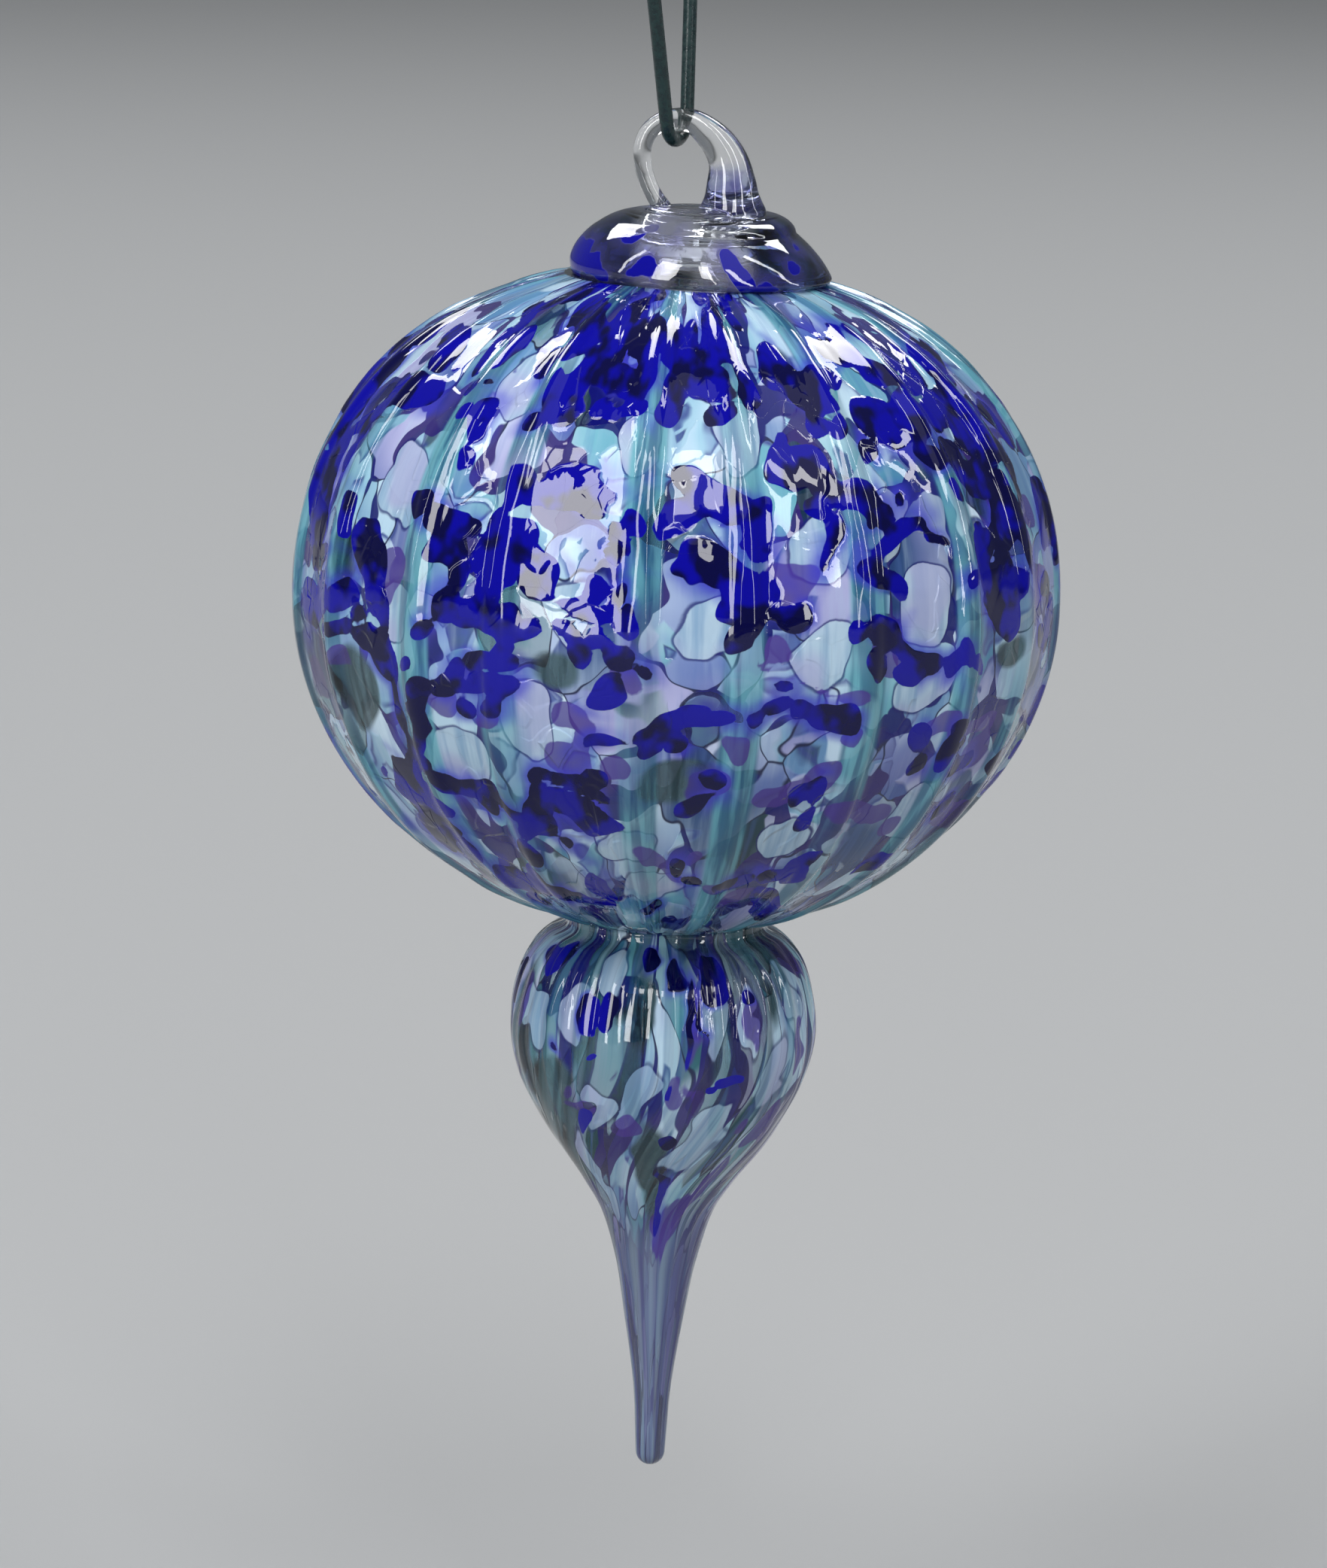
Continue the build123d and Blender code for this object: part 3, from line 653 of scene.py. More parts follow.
def lining_glass():
    """Colourless glass of the inner walls, with faint cords in it."""
    material, tree, principled = shader("inner_glass", Roughness=0.0, IOR=1.52, Transmission_Weight=1.0)
    cords = noise(tree, about_globe(tree), 0.26, 2.0)
    colour = mix(tree, ease(tree, cords, 0.35, 0.7), (1, 1, 1, 1), (0.90, 0.95, 0.97, 1))
    tree.links.new(colour, principled.inputs["Base Color"])
    bump = node(tree, "ShaderNodeBump", Strength=0.25, Distance=MM * 0.2, Height=cords)
    tree.links.new(bump.outputs[0], principled.inputs["Normal"])
    return material


def gather_glass():
    """Clear glass of the plug and loop, with cobalt drawn up into the loop's foot, and a whitish band round
    the plug as a painted highlight.
    """
    material, tree, principled = shader("clear_gather", Roughness=0.0, IOR=1.52, Transmission_Weight=1.0)
    where = about_globe(tree)
    drawn = noise(tree, vector_maths(tree, "MULTIPLY", where, (1.0, 1.0, 0.45)), 0.9, 3.0)
    place = node(tree, "ShaderNodeSeparateXYZ", i0=where)
    x, z = place.outputs[0], place.outputs[2]
    near_foot = maths(tree, "MULTIPLY", ease(tree, z, 45.5, 43.0), ease(tree, z, 39.6, 40.4))
    near_foot = maths(tree, "MULTIPLY", near_foot, ease(tree, x, 0.8, 2.2))
    fleck = maths(tree, "MULTIPLY", ease(tree, drawn, 0.44, 0.56), near_foot)
    colour = mix(tree, maths(tree, "MULTIPLY", near_foot, 0.8), (0.98, 0.99, 1.0, 1), (0.45, 0.52, 0.80, 1))
    colour = mix(tree, maths(tree, "MULTIPLY", fleck, 0.8), colour, (0.13, 0.12, 0.50, 1))
    tree.links.new(colour, principled.inputs["Base Color"])
    # painted highlight: a whitish band round the plug, where less light passes
    band = maths(tree, "MULTIPLY", ease(tree, z, 36.9, 36.6), ease(tree, z, 35.5, 35.8))
    band = maths(tree, "MULTIPLY", band, ease(tree, drawn, 0.30, 0.50))
    tree.links.new(ease(tree, band, 0.0, 1.0, 1.0, 0.35), principled.inputs["Transmission Weight"])
    bump = node(tree, "ShaderNodeBump", Strength=0.3, Distance=MM * 0.1, Height=noise(tree, where, 0.5, 1.0))
    tree.links.new(bump.outputs[0], principled.inputs["Normal"])
    return material


def dome_glass():
    """Clear glass with cobalt patches, a violet haze and streaks of teal."""
    material, tree, principled = shader("dome_glass", Roughness=0.0, IOR=1.52)
    where = about_globe(tree)
    cobalt = field_of(tree, "cobalt")
    drawn = noise(tree, where, 0.35, 3.0)
    colour = mix(tree, ease(tree, drawn, 0.50, 0.62), (0.14, 0.17, 0.42, 1), (0.035, 0.11, 0.15, 1))
    place = node(tree, "ShaderNodeSeparateXYZ", i0=where)
    from_plug = maths(tree, "ABSOLUTE", maths(tree, "SUBTRACT", place.outputs[0], PLUG_X))
    colour = mix(tree, ease(tree, from_plug, 7.0, 5.0), colour, (0.90, 0.93, 0.97, 1))
    haze = maths(tree, "MULTIPLY", ease(tree, cobalt, -2.4, 0.3), ease(tree, drawn, 0.35, 0.6, 0.45, 1.0))
    colour = mix(tree, maths(tree, "MULTIPLY", haze, 0.9), colour, (0.09, 0.08, 0.40, 1))
    edge = maths(tree, "ADD", cobalt, maths(tree, "MULTIPLY", maths(tree, "SUBTRACT", drawn, 0.5), 1.6))
    solid = ease(tree, edge, -0.05, 0.12)
    colour = mix(tree, solid, colour, COBALT)
    tree.links.new(colour, principled.inputs["Base Color"])
    see = maths(tree, "SUBTRACT", 1.0, maths(tree, "MULTIPLY", haze, 0.2))
    see = node(tree, "ShaderNodeMix", i0=solid, i2=see, i3=0.15).outputs[0]
    tree.links.new(see, principled.inputs["Transmission Weight"])
    bump = node(tree, "ShaderNodeBump", Strength=0.2, Distance=MM * 0.15, Height=drawn)
    tree.links.new(bump.outputs[0], principled.inputs["Normal"])
    return material


def coated_wire():
    """Dark green semi-gloss coating, a little uneven, worn paler in places."""
    material, tree, principled = shader("green_coating", IOR=1.48)
    where = about_globe(tree)
    uneven = noise(tree, where, 1.6, 3.0)
    colour = mix(tree, ease(tree, uneven, 0.35, 0.65), (0.002, 0.011, 0.013, 1), (0.004, 0.020, 0.020, 1))
    worn = ease(tree, noise(tree, where, 4.5, 4.0), 0.66, 0.72)
    colour = mix(tree, maths(tree, "MULTIPLY", worn, 0.4), colour, (0.02, 0.06, 0.052, 1))
    tree.links.new(colour, principled.inputs["Base Color"])
    tree.links.new(ease(tree, uneven, 0.3, 0.7, 0.22, 0.36), principled.inputs["Roughness"])
    bump = node(tree, "ShaderNodeBump", Strength=0.4, Distance=MM * 0.08, Height=uneven)
    tree.links.new(bump.outputs[0], principled.inputs["Normal"])
    return material


def steel_wire():
    """Cut steel with fine scratches."""
    material, tree, principled = shader("steel_wire", Metallic=1.0)
    where = about_globe(tree)
    scratch = noise(tree, vector_maths(tree, "MULTIPLY", where, (1.0, 6.0, 1.0)), 5.0, 4.0)
    colour = mix(tree, ease(tree, scratch, 0.3, 0.7), (0.36, 0.36, 0.37, 1), (0.60, 0.60, 0.61, 1))
    tree.links.new(colour, principled.inputs["Base Color"])
    tree.links.new(ease(tree, scratch, 0.3, 0.7, 0.25, 0.5), principled.inputs["Roughness"])
    return material


# ---------------------------------------------------------------- the globe
def globe_columns():
    """Bearings of the mesh columns, closer together on the ribs."""
    columns = []
    for bearing, following in zip(RIB_BEARINGS, RIB_BEARINGS[1:] + [RIB_BEARINGS[0] + 360]):
        columns += list(bearing + RIB_HALF_DEG * np.linspace(-1, 1, 9)[:-1])
        columns += list(np.linspace(bearing + RIB_HALF_DEG, following - RIB_HALF_DEG, 15, endpoint=False))
    return np.array(columns)


def rib_distance(bearing, rank=0):
    """Degrees from each bearing to its nearest rib, or to the next nearest for rank 1."""
    turn = np.abs((bearing[:, None] - np.array(RIB_BEARINGS, float)[None] + 180) % 360 - 180)
    return np.sort(turn, axis=1)[:, rank]


def rib_shape(bearing):
    """Across the ribs: the flat-topped bead, a wider soft band, and the crown of the panels."""
    nearest = rib_distance(bearing)
    x = np.clip(nearest / RIB_HALF_DEG, 0, 1)
    bead = (1 - x**2.4) ** 1.6
    band = np.exp(-(nearest / 3.0) ** 2)
    crown = np.sin(np.pi * np.clip(nearest / (nearest + rib_distance(bearing, 1)), 0, 1))
    return bead, band, crown


def stretched_space(bearing, arc, radius):
    """Cylinder coordinates in which the frit was even before the glass was drawn in at the ends."""
    stretch = np.clip(radius / GLOBE_R, 0.2, 1) ** 0.7
    along = np.concatenate([[0], np.cumsum(np.diff(arc) * (stretch[1:] + stretch[:-1]) / 2)])
    angle = np.radians(bearing)
    x, y = GLOBE_R * np.sin(angle), -GLOBE_R * np.cos(angle)
    rows, columns = len(arc), len(bearing)
    return np.stack([np.broadcast_to(x, (rows, columns)), np.broadcast_to(y, (rows, columns)),
                     np.broadcast_to(along[:, None], (rows, columns))], axis=-1)


def relief_pass(piece, size, height):
    """Raises the petals of the piece's outer skin by geometry nodes, then keeps the result as its mesh."""
    group = bpy.data.node_groups.new("petal relief", "GeometryNodeTree")
    group.interface.new_socket("Geometry", in_out="INPUT", socket_type="NodeSocketGeometry")
    group.interface.new_socket("Geometry", in_out="OUTPUT", socket_type="NodeSocketGeometry")
    start, end = group.nodes.new("NodeGroupInput"), group.nodes.new("NodeGroupOutput")

    def named(field, kind):
        made = group.nodes.new("GeometryNodeInputNamedAttribute")
        made.data_type = kind
        made.inputs["Name"].default_value = field
        return made.outputs[0]

    space, skin = named("frit_space", "FLOAT_VECTOR"), named("skin", "FLOAT")
    cells, tilt, _ = petals(group, space, size)
    raised = maths(group, "MULTIPLY", petal_height(group, cells, tilt), height * MM)
    raised = maths(group, "MULTIPLY", raised, skin)
    normal = group.nodes.new("GeometryNodeInputNormal").outputs[0]
    offset = node(group, "ShaderNodeVectorMath", {"operation": "SCALE"}, i0=normal, Scale=raised).outputs[0]
    moved = group.nodes.new("GeometryNodeSetPosition")
    group.links.new(start.outputs[0], moved.inputs["Geometry"])
    group.links.new(offset, moved.inputs["Offset"])
    group.links.new(moved.outputs[0], end.inputs[0])
    modifier = piece.modifiers.new("relief", "NODES")
    modifier.node_group = group
    keep_evaluated(piece)


def keep_evaluated(piece):
    """Applies the piece's modifiers."""
    graph = bpy.context.evaluated_depsgraph_get()
    mesh = bpy.data.meshes.new_from_object(piece.evaluated_get(graph))
    piece.modifiers.clear()
    old, piece.data = piece.data, mesh
    name = old.name
    bpy.data.meshes.remove(old)
    mesh.name = name


def over_lining(fields, count):
    """The outer skin's fields, carried on over the lining's points as no chip, no rib and no relief."""
    carried = {}
    for name, values in fields.items():
        blank = NO_CHIP if name in ("cobalt", "violet", "dark_window", "pale") else 0.0
        carried[name] = np.concatenate([values, np.full((count, *values.shape[1:]), blank)])
    return carried


def hollow_piece(name, outer, inner, fields, materials, stands_for, open_below):
    """An outer skin and a lining, joined by a flat ring above, and below too unless both close there."""
    rows, columns = outer.shape[:2]
    inner_rows, inner_columns = inner.shape[:2]
    start = rows * columns
    faces = ring_faces(rows, columns)
    if not open_below:
        faces.append(list(range(columns))[::-1])
    skin_faces = len(faces)
    faces += ring_faces(inner_rows, inner_columns, start, inward=True)
    if open_below:
        faces += bridge(0, columns, start, inner_columns, upward=False)
    else:
        faces.append([start + i for i in range(inner_columns)])
    faces += bridge(start - columns, columns, start + (inner_rows - 1) * inner_columns,
                    inner_columns, upward=True)
    slots = [0] * skin_faces + [1] * (len(faces) - skin_faces)
    points = np.concatenate([outer.reshape(-1, 3), inner.reshape(-1, 3)])
    return make_piece(name, points, faces, "ornament", materials, stands_for,
                      over_lining(fields, inner_rows * inner_columns), slots)


def globe_outline(rows):
    """Radius, height and arc length of the outer skin, from the neck up to the shoulder."""
    turn = np.linspace(math.asin(NECK_Z / BOTTOM_HALF), math.asin(SHOULDER_Z / TOP_HALF), 2000)
    z = np.where(turn < 0, BOTTOM_HALF, TOP_HALF) * np.sin(turn)
    return even_profile(globe_radius(z), z, rows)


def globe_lining(rows):
    """Radius and height of the wall's inner side, from throat to throat."""
    turn = np.linspace(-1, 1, 400) * (math.pi / 2)
    half = np.where(turn < 0, BOTTOM_HALF, TOP_HALF) - GLOBE_WALL
    z = half * np.sin(turn)
    radius = np.where(turn < 0, superellipse(GLOBE_R - GLOBE_WALL, half, BOTTOM_POWER, z),
                      superellipse(GLOBE_R - GLOBE_WALL, half, TOP_POWER, z))
    keep = radius > THROAT_R
    radius = np.concatenate([[THROAT_R], radius[keep], [THROAT_R]])
    z = np.concatenate([[NECK_Z], z[keep], [SHOULDER_Z]])
    radius, z, _ = even_profile(radius, z, rows)
    return radius, z


def globe_chips(bearing, height, warp):
    """The chip fields of the globe, by kind."""
    cobalt = with_crumbs(COBALT_CHIPS + back_chips(85, SEED, (1.2, 5.5), (0.8, 3.2), -28, 31), SEED + 2)
    violet = VIOLET_CHIPS + back_chips(26, SEED + 1, (2.0, 5.0), (0.9, 2.2), -24, 10)
    dark_window = DARK_WINDOW_CHIPS + back_chips(9, SEED + 5, (2.5, 5.0), (1.8, 4.0), -24, 26)
    pale = PALE_CHIPS + back_chips(20, SEED + 7, (3.0, 5.0), (2.0, 3.6), -24, 26)
    return {
        "cobalt": chip_field(cobalt, bearing, height, warp) + 0.32,
        "violet": chip_field(violet, bearing, height, warp) + 0.2,
        "dark_window": chip_field(dark_window, bearing, height, warp),
        "pale": chip_field(pale, bearing, height, warp),
    }


def ball_shell(skin, lining):
    """The globe, ribbed outside and smooth inside, open to the dome above and to the finial below."""
    rows, inner_rows, inner_columns = 196, 60, 96
    radius, z, arc = globe_outline(rows)
    bearing = globe_columns()
    columns = len(bearing)
    bead, band, crown = rib_shape(bearing)
    space = stretched_space(bearing, arc, radius).reshape(-1, 3)
    slope_r, slope_z = np.gradient(radius, arc), np.gradient(z, arc)
    flat = turned(radius[:, None], z[:, None], bearing[None]).reshape(-1, 3)
    warp = [ripples(flat, 9, 11) * 0.55, ripples(flat, 8, 12) * 0.45]
    chips = globe_chips(np.tile(bearing, rows), np.repeat(z, columns), warp)

    raised = (RIB_H * np.tile(bead, rows) * (1 + 0.12 * ripples(flat, 16, 21))
              - PANEL_HOLLOW * np.tile(crown, rows) + 0.10) * np.repeat(radius / GLOBE_R, columns)
    raised += 0.06 * ripples(flat, 15, 22) + 0.025 * ripples(flat, 6, 23)
    raised += 0.06 * step_up(chips["cobalt"], -0.4, 0.5)
    ends = step_up(np.minimum(arc, arc[-1] - arc), 0.0, 3.0)
    raised *= np.repeat(ends, columns)
    raised = np.minimum(raised, MOST_RAISED).reshape(rows, -1)
    points = turned(radius[:, None] + raised * slope_z[:, None],
                    z[:, None] - raised * slope_r[:, None], bearing[None])

    inner_r, inner_z = globe_lining(inner_rows)
    inner = turned(inner_r[:, None], inner_z[:, None], (bearing[0] + around(inner_columns))[None])
    fields = chips | {
        "frit_space": space,
        "rib": np.tile(band, rows),
        "skin": np.outer(ends, 1 - band).ravel(),
    }
    piece = hollow_piece("ball_shell_glass", points, inner, fields, [skin, lining],
                         ["ball_shell"], open_below=True)
    relief_pass(piece, PETAL_SIZE, PETAL_RELIEF)
    return piece


# ---------------------------------------------------------------- the finial
def finial_outline(rows):
    """Radius, height and arc length of the outer skin, from the rounded tip up to the neck."""
    outline = smooth_curve(FINIAL_PROFILE, 1500)
    tip = np.linspace(0, math.pi / 2 - 0.03, 40)[1:]
    radius = np.concatenate([outline[:, 0], TIP_R * np.cos(tip)])
    z = np.concatenate([outline[:, 1], TIP_Z + TIP_R - TIP_R * np.sin(tip)])
    return even_profile(radius[::-1], z[::-1], rows)


def finial_back(count, seed):
    """Drawn-out chips over the back of the finial."""
    rng = np.random.default_rng(seed)
    return [(rng.uniform(BACK_START, BACK_END), rng.uniform(-62, -37),
             math.degrees(rng.uniform(0.6, 1.4) / SMALL_R), rng.uniform(1.0, 2.8), 0.2) for _ in range(count)]


def finial_chips(bearing, height, warp):
    """The chip fields of the finial, by kind, faint where the glass was drawn thin."""
    settle = np.interp(height, [-70, -58, -46], [0.35, 0.8, 1.0])
    cobalt = FINIAL_COBALT + finial_back(16, SEED + 3)
    violet = FINIAL_VIOLET + finial_back(12, SEED + 4)
    dark_window = FINIAL_DARK_WINDOWS + finial_back(9, SEED + 6)
    pale = FINIAL_PALE + finial_back(14, SEED + 8)
    return {
        "cobalt": chip_field(cobalt, bearing, height, warp, SMALL_R) * settle,
        "violet": chip_field(violet, bearing, height, warp, SMALL_R) * settle,
        "dark_window": chip_field(dark_window, bearing, height, warp, SMALL_R),
        "pale": chip_field(pale, bearing, height, warp, SMALL_R) * settle,
    }


def finial(skin, lining):
    """Bulb and spike in one, fluted round the bulb, with the bulb's cavity inside."""
    rows, inner_rows, columns, inner_columns = 230, 50, 360, 96
    radius, z, arc = finial_outline(rows)
    slope_r, slope_z = np.gradient(radius, arc), np.gradient(z, arc)
    bearing = around(columns)
    flat = turned(radius[:, None], z[:, None], bearing[None]).reshape(-1, 3)

    flute_bearing = bearing + FLUTE_TURN
    nearest, next_nearest = rib_distance(flute_bearing), rib_distance(flute_bearing, 1)
    bead = 0.5 + 0.5 * np.cos(4 * np.pi * (nearest / (nearest + next_nearest)))
    fluted = step_up(z, -56.0, -45.0) * (1 - step_up(z, -38.5, -36.0))
    raised = np.outer(fluted * FLUTE_H, bead - 0.5).ravel() * (1 + 0.3 * ripples(flat, 12, 34))
    raised += 0.05 * ripples(flat, 9, 31) * np.repeat(step_up(radius, 1.5, 6.0), columns)
    raised *= np.repeat(1 - step_up(z, -36.5, -34.8), columns)
    raised = raised.reshape(rows, columns)
    points = turned(radius[:, None] + raised * slope_z[:, None],
                    z[:, None] - raised * slope_r[:, None], bearing[None])

    # the glass was turned as it was drawn out, so its streaks wind round below the bulb
    wind = FINIAL_TWIST * step_up(z, -74.0, -46.0) - FINIAL_TWIST
    spun = np.radians(bearing[None] - wind[:, None])
    streak_r, draw = 20.0, 0.42
    space = np.stack([streak_r * np.sin(spun), -streak_r * np.cos(spun),
                      np.broadcast_to((z * draw)[:, None], spun.shape)], axis=-1).reshape(-1, 3)
    warp = [ripples(flat, 4, 32) * 0.32 + ripples(flat, 2.4, 35) * 0.10, ripples(flat, 6, 33) * 0.5]
    rib = np.outer(step_up(z, -60.0, -50.0), np.exp(-((nearest / 3.4) ** 2))).ravel()

    cavity = smooth_curve(CAVITY_PROFILE, 500)[::-1]
    inner_r, inner_z, _ = even_profile(cavity[:, 0], cavity[:, 1], inner_rows)
    inner_r = np.maximum(inner_r, 0.03)
    inner = turned(inner_r[:, None], inner_z[:, None], around(inner_columns)[None])
    fields = finial_chips(np.tile(bearing, rows), np.repeat(z, columns), warp) | {
        "frit_space": space,
        "rib": rib,
        "drawn": np.repeat(step_up(z, -62.0, -72.0), columns),
    }
    return hollow_piece("finial_glass", points, inner, fields, [skin, lining],
                        ["finial_bulb", "finial_spike"], open_below=False)


# ---------------------------------------------------------------- the dome, plug, foot and loop
def shoulder_dome(material):
    """The squashed bubble above the globe, with its wall and the hole that the plug fills."""
    columns = 192
    outer = smooth_curve(DOME_PROFILE, 400)
    inner = smooth_curve(DOME_INSIDE, 300)[::-1]
    radius, z, _ = even_profile(outer[:, 0], outer[:, 1], 72)
    ir, iz, _ = even_profile(inner[:, 0], inner[:, 1], 60)
    radius, z = np.concatenate([radius, ir]), np.concatenate([z, iz])
    bearing = around(columns)
    side = np.sin(np.radians(bearing))

    # fuller and higher on the left, lower on the right, as it slumped
    share = np.interp(z, [33.2, 34.2, 38.0, 40.2], [0.2, 1.0, 0.6, 0.0])
    lift = -0.65 * np.outer(share, side)
    flat = turned(radius[:, None], z[:, None], bearing[None]).reshape(-1, 3)
    bend = np.repeat(np.interp(radius, [5.4, 8.0], [0, 1]), columns)
    swell = (0.07 * ripples(flat, 8, 41) * bend).reshape(len(z), columns)
    drawn_in = np.outer(np.interp(z, [34.2, 36.2, 38.4, 40.1], [0, 0.06, 0.13, 0]), 0.6 + 0.4 * side)
    slumped = radius[:, None] * (1 - drawn_in) + swell * (radius > 8)[:, None]
    points = turned(slumped, z[:, None] + lift, bearing[None])
    hole = np.interp(radius, [5.3, 8.0], [1, 0])
    points[..., 0] += DOME_X + ((PLUG_X - DOME_X) * hole)[:, None]
    faces = ring_faces(len(z), columns)
    last = (len(z) - 1) * columns
    faces += [[(i + 1) % columns, i, last + i, last + (i + 1) % columns] for i in range(columns)]
    warp = [ripples(flat, 6, 42) * 0.6, ripples(flat, 6, 43) * 0.5]
    full_bearing, height = np.tile(bearing, len(z)), np.repeat(z, columns)
    cobalt = chip_field(DOME_COBALT, full_bearing, height, warp, SMALL_R)
    return make_piece("shoulder_dome_glass", points.reshape(-1, 3), faces, "ornament",
                      [material], ["shoulder_dome"], {"cobalt": cobalt})


def tube_rings(centres, radii, sides=40):
    """Rings of points round the centres, which lie in one vertical plane."""
    along = np.gradient(centres, axis=0)
    along /= np.linalg.norm(along, axis=1)[:, None]
    plane = np.cross(centres[len(centres) // 2] - centres[0], centres[-1] - centres[0])
    side = np.broadcast_to(plane / np.linalg.norm(plane), along.shape)
    up = np.cross(along, side)
    turn = np.linspace(0, 2 * np.pi, sides, endpoint=False)
    return (centres[:, None] + np.asarray(radii)[:, None, None]
            * (np.cos(turn)[None, :, None] * side[:, None] + np.sin(turn)[None, :, None] * up[:, None]))


def add_rings(cloud, rings, capped=True):
    """Adds a tube through the rings, closed at both ends if it is capped."""
    count, sides = rings.shape[:2]
    start = len(cloud["points"])
    cloud["points"] += rings.reshape(-1, 3).tolist()
    cloud["faces"] += ring_faces(count, sides, start)
    if capped:
        cloud["faces"].append([start + i for i in range(sides)][::-1])
        cloud["faces"].append([start + (count - 1) * sides + i for i in range(sides)])


def clear_gather(material):
    """Plug, foot and loop as the one run of clear glass they are, melted together."""
    cloud = {"points": [], "faces": []}
    rod = smooth_curve(LOOP_STATIONS, 260)
    rod_centres = np.stack([rod[:, 0], np.zeros(len(rod)), rod[:, 1]], axis=1)
    add_rings(cloud, tube_rings(rod_centres, rod[:, 2]))
    bell = smooth_curve(PLUG_PROFILE, 90)
    bell_rings = turned(bell[:, 0][:, None], bell[:, 1][:, None], around(96)[None])
    bell_rings[..., 0] += PLUG_X
    add_rings(cloud, bell_rings)
    mesh = bpy.data.meshes.new("gather")
    mesh.from_pydata(cloud["points"], [], cloud["faces"])
    rough = bpy.data.objects.new("gather", mesh)
    bpy.context.scene.collection.objects.link(rough)
    melt = rough.modifiers.new("melt", "REMESH")
    melt.mode = "VOXEL"
    melt.voxel_size = 0.13
    soften = rough.modifiers.new("soften", "SMOOTH")
    soften.factor, soften.iterations = 0.5, 12
    keep_evaluated(rough)
    points = np.empty(len(rough.data.vertices) * 3)
    rough.data.vertices.foreach_get("co", points)
    faces = [tuple(face.vertices) for face in rough.data.polygons]
    bpy.data.objects.remove(rough)
    return make_piece("clear_gather_glass", points.reshape(-1, 3), faces, "ornament",
                      [material],
                      ["seal_plug", "loop_foot", "hanging_loop"])


# ---------------------------------------------------------------- the hook
def hook_centreline():
    """The hook in its own plane: distance along the plane and height, from the tail to the crook's tip."""
    _, hang_z, hang_r = HANG
    bight = hang_z - hang_r - SEAT_CLEARANCE + BIGHT_R - WIRE_R
    crook = bight - BIGHT_R - WIRE_R + HOOK_HEIGHT - CROOK_R - WIRE_R
    flare = math.radians(TAIL_FLARE)
    root = np.array([-BIGHT_R * math.cos(flare), bight - BIGHT_R * math.sin(flare)])
    tail = root + np.array([-math.sin(flare), math.cos(flare)]) * TAIL_LENGTH
    bend_x = BIGHT_R + SHANK_BEND_R
    rise = math.sqrt((CROOK_R + SHANK_BEND_R) ** 2 - bend_x ** 2)
    swing = math.asin(rise / (CROOK_R + SHANK_BEND_R))

    def arc(centre, radius, start, end, count):
        turn = np.linspace(start, end, count)
        return np.stack([centre[0] + radius * np.cos(turn), centre[1] + radius * np.sin(turn)], axis=1)

    parts = [
        np.linspace(tail, root, 60)[:-1],
        arc((0, bight), BIGHT_R, math.pi + flare, 2 * math.pi, 60)[:-1],
        np.linspace([BIGHT_R, bight], [BIGHT_R, crook - rise], 80)[:-1],
        arc((bend_x, crook - rise), SHANK_BEND_R, math.pi, math.pi - swing, 60)[:-1],
        arc((0, crook), CROOK_R, -swing, math.radians(CROOK_TIP_ANGLE), 140),
    ]
    return np.concatenate(parts)


def add_bore(cloud, rings):
    """Adds an inner wall to the open tube in the cloud, and a flat ring at each end."""
    count, sides = rings.shape[:2]
    bore = len(cloud["points"])
    end = bore - sides
    pairs = [(i, (i + 1) % sides) for i in range(sides)]
    cloud["points"] += rings.reshape(-1, 3).tolist()
    cloud["faces"] += ring_faces(count, sides, bore, inward=True)
    cloud["faces"] += [[i, bore + i, bore + j, j] for i, j in pairs]
    cloud["faces"] += [[end + j, end + bore + j, end + bore + i, end + i] for i, j in pairs]


def wire(name, radius, bore, material, stands_for):
    """A round wire along the hook, either solid or, with a bore, a coating round a core."""
    line = hook_centreline()
    turn = math.radians(HOOK_TURN)
    across = line[:, 0]
    centres = np.stack([HANG[0] + across * math.sin(turn), across * math.cos(turn), line[:, 1]], axis=1)
    radii = np.full(len(centres), radius)
    radii[[0, -1]] = radius - WIRE_END_EASE
    cloud = {"points": [], "faces": []}
    add_rings(cloud, tube_rings(centres, radii, WIRE_SIDES), capped=bore is None)
    if bore is not None:
        add_bore(cloud, tube_rings(centres, np.full(len(centres), bore), WIRE_SIDES))
    return make_piece(name, cloud["points"], cloud["faces"], "hook", [material], [stands_for])


# ---------------------------------------------------------------- stage, light and camera
def camera():
    """Long lens level with the hook's seat, looking down on the globe by ten degrees and rolled a little."""
    elevation, roll = math.radians(CAMERA_ELEVATION), math.radians(CAMERA_ROLL)
    aim = Vector(CAMERA_AIM)
    place = GLOBE + CAMERA_DISTANCE * Vector((0, -math.cos(elevation), math.sin(elevation)))
    right = aim.cross(Vector((0, 0, 1))).normalized()
    up = right.cross(aim)
    rolled_up = up * math.cos(roll) - right * math.sin(roll)
    rolled_right = aim.cross(rolled_up)
    data = bpy.data.cameras.new("camera")
    data.lens = 120
    data.sensor_width = 36
    data.clip_start, data.clip_end = 0.01, 60
    made = bpy.data.objects.new("camera", data)
    facing = Matrix((rolled_right, rolled_up, -aim)).transposed().to_4x4()
    made.matrix_world = Matrix.Translation(place) @ facing
    bpy.context.scene.collection.objects.link(made)
    bpy.context.scene.camera = made


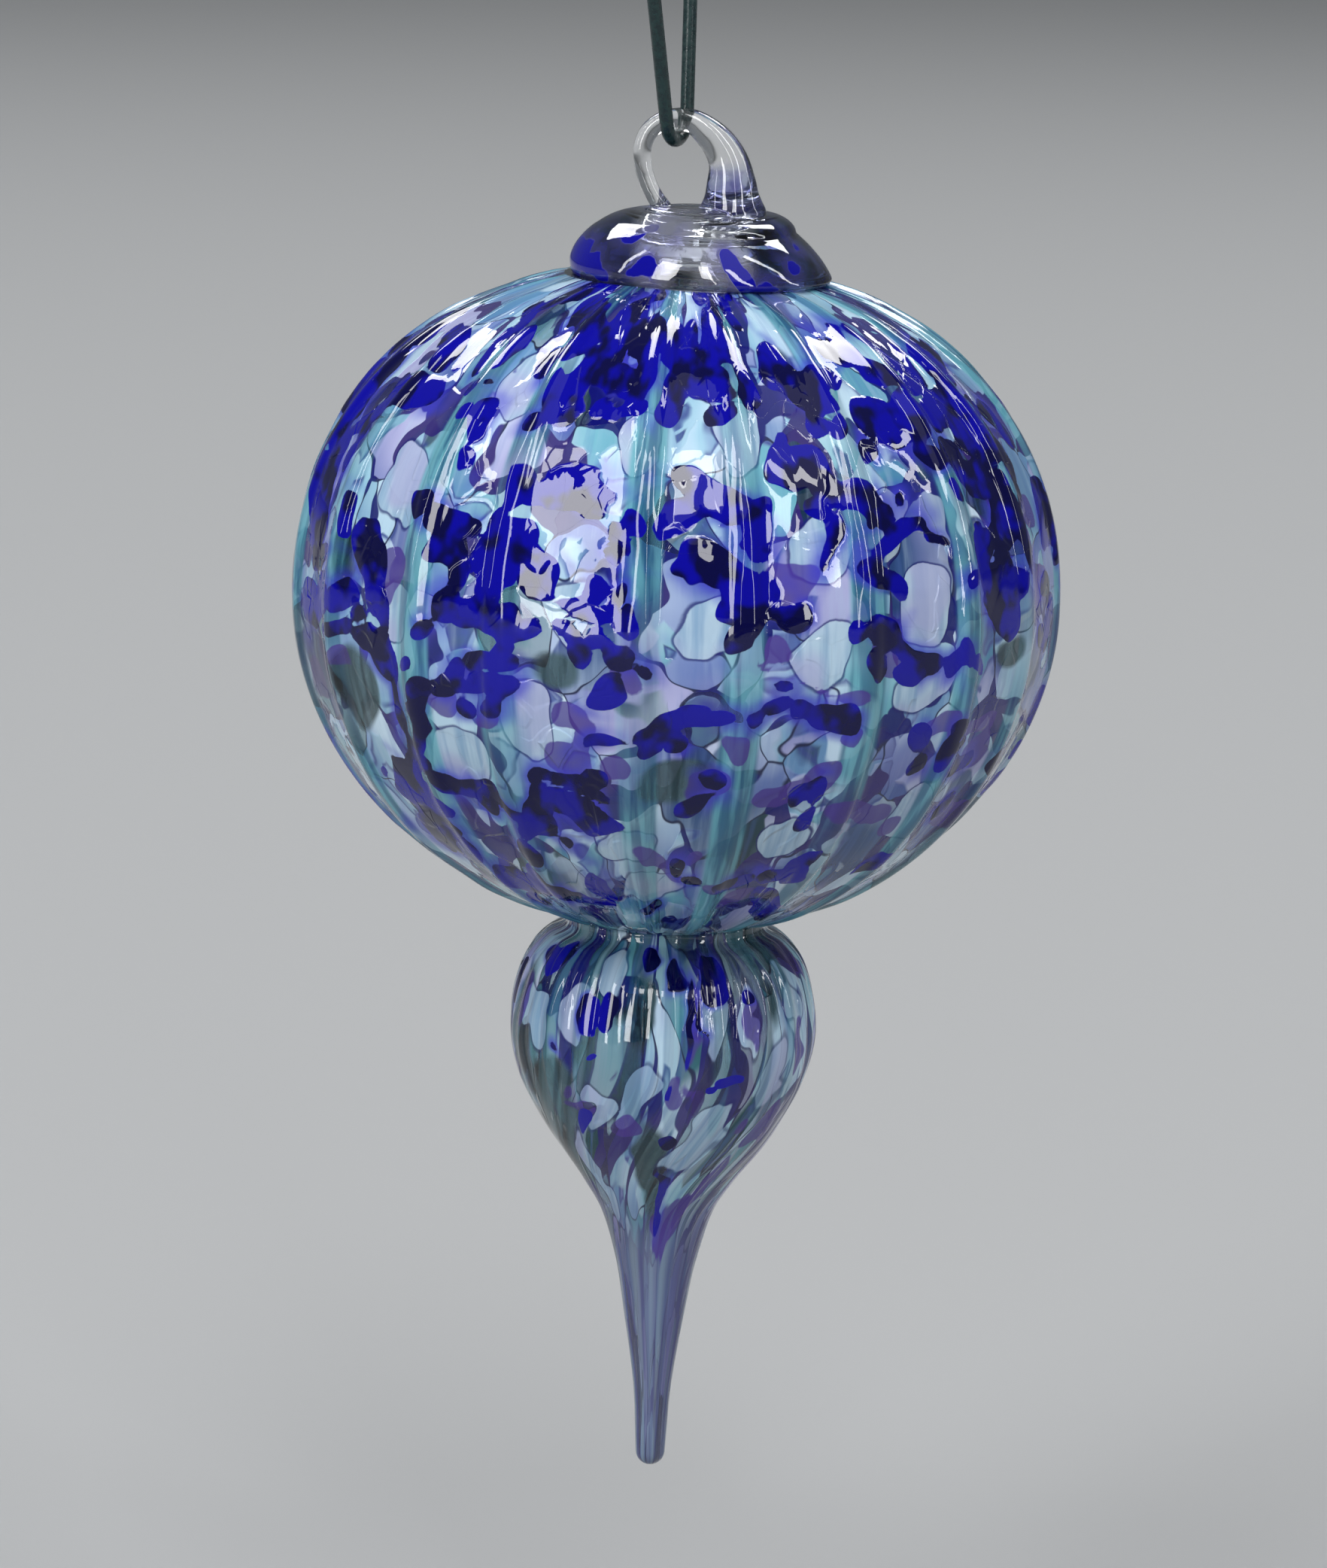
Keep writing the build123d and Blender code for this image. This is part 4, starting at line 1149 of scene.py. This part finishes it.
def softbox(name, azimuth, elevation, width, height, radiance):
    """A rectangular light that faces the globe; azimuth 0 is the front and positive is the right.

    Width and height are in units of its distance.
    """
    data = bpy.data.lights.new(name, "AREA")
    data.shape = "RECTANGLE"
    data.size, data.size_y = width * LIGHT_DISTANCE, height * LIGHT_DISTANCE
    data.energy = radiance * data.size * data.size_y * math.pi
    a, e = math.radians(azimuth), math.radians(elevation)
    away = Vector((math.sin(a) * math.cos(e), -math.cos(a) * math.cos(e), math.sin(e)))
    made = bpy.data.objects.new(name, data)
    made.location = GLOBE + away * LIGHT_DISTANCE
    made.rotation_mode = "QUATERNION"
    made.rotation_quaternion = away.to_track_quat("Z", "Y")
    made.visible_camera = False
    bpy.context.scene.collection.objects.link(made)


def stage():
    """A wide pale floor a little below the finial, and a soft grey world."""
    mesh = bpy.data.meshes.new("floor")
    corners = [(x * FLOOR_HALF, y * FLOOR_HALF, 0) for x, y in ((-1, -1), (1, -1), (1, 1), (-1, 1))]
    mesh.from_pydata(corners, [], [(0, 1, 2, 3)])
    floor = bpy.data.objects.new("floor", mesh)
    floor.location.z = cad_low.z - FLOOR_DROP
    material, _, _ = shader("floor", Base_Color=(0.28, 0.285, 0.29, 1), Roughness=0.9)
    mesh.materials.append(material)
    bpy.context.scene.collection.objects.link(floor)
    sun = bpy.data.lights.new("even_light", "SUN")
    sun.energy, sun.angle = 0.5, math.radians(60)
    high = bpy.data.objects.new("even_light", sun)
    high.rotation_euler = (math.radians(25), 0, math.radians(20))
    bpy.context.scene.collection.objects.link(high)
    world = bpy.data.worlds.new("studio")
    world.use_nodes = True
    background = world.node_tree.nodes["Background"]
    background.inputs["Color"].default_value = (0.80, 0.86, 0.92, 1)
    background.inputs["Strength"].default_value = 0.17
    bpy.context.scene.world = world
    bpy.context.scene.view_settings.view_transform = "Standard"


# ---------------------------------------------------------------- assembly
camera()
stage()
softbox("key", -36, 28, 0.23, 1.25, 13)
softbox("key_top", 8, 50, 0.17, 0.42, 12)
softbox("strip_left", -80, 33, 0.055, 1.1, 12)
softbox("strip_middle", 14, 26, 0.035, 1.0, 12)
softbox("strip_right", 46, 28, 0.075, 1.1, 14)
softbox("strip_far_right", 96, 33, 0.055, 1.1, 12)
softbox("back_left", -142, 44, 0.26, 0.30, 11)
softbox("back_right", 146, 44, 0.27, 0.33, 11)

lining = lining_glass()
globe_skin = frit_glass("frit_glass", PETAL_TONES, PETAL_SIZE, clearness=0.09, windows=0.13, rib_tint=0.85,
                        streaks=0.25, pads=0.80, haze_reach=1.5)
ball_shell(globe_skin, lining)
finial_skin = frit_glass("streaked_glass", FINIAL_TONES, 6.5, clearness=0.12, windows=0.26, rib_tint=0.35,
                         streaks=0.4, pads=0.62, haze_reach=0.5)
finial(finial_skin, lining)
shoulder_dome(dome_glass())
clear_gather(gather_glass())
wire("hook_coating_green", WIRE_R, CORE_R + 0.01, coated_wire(), "hook_coating")
wire("hook_core_steel", CORE_R, None, steel_wire(), "hook_core")
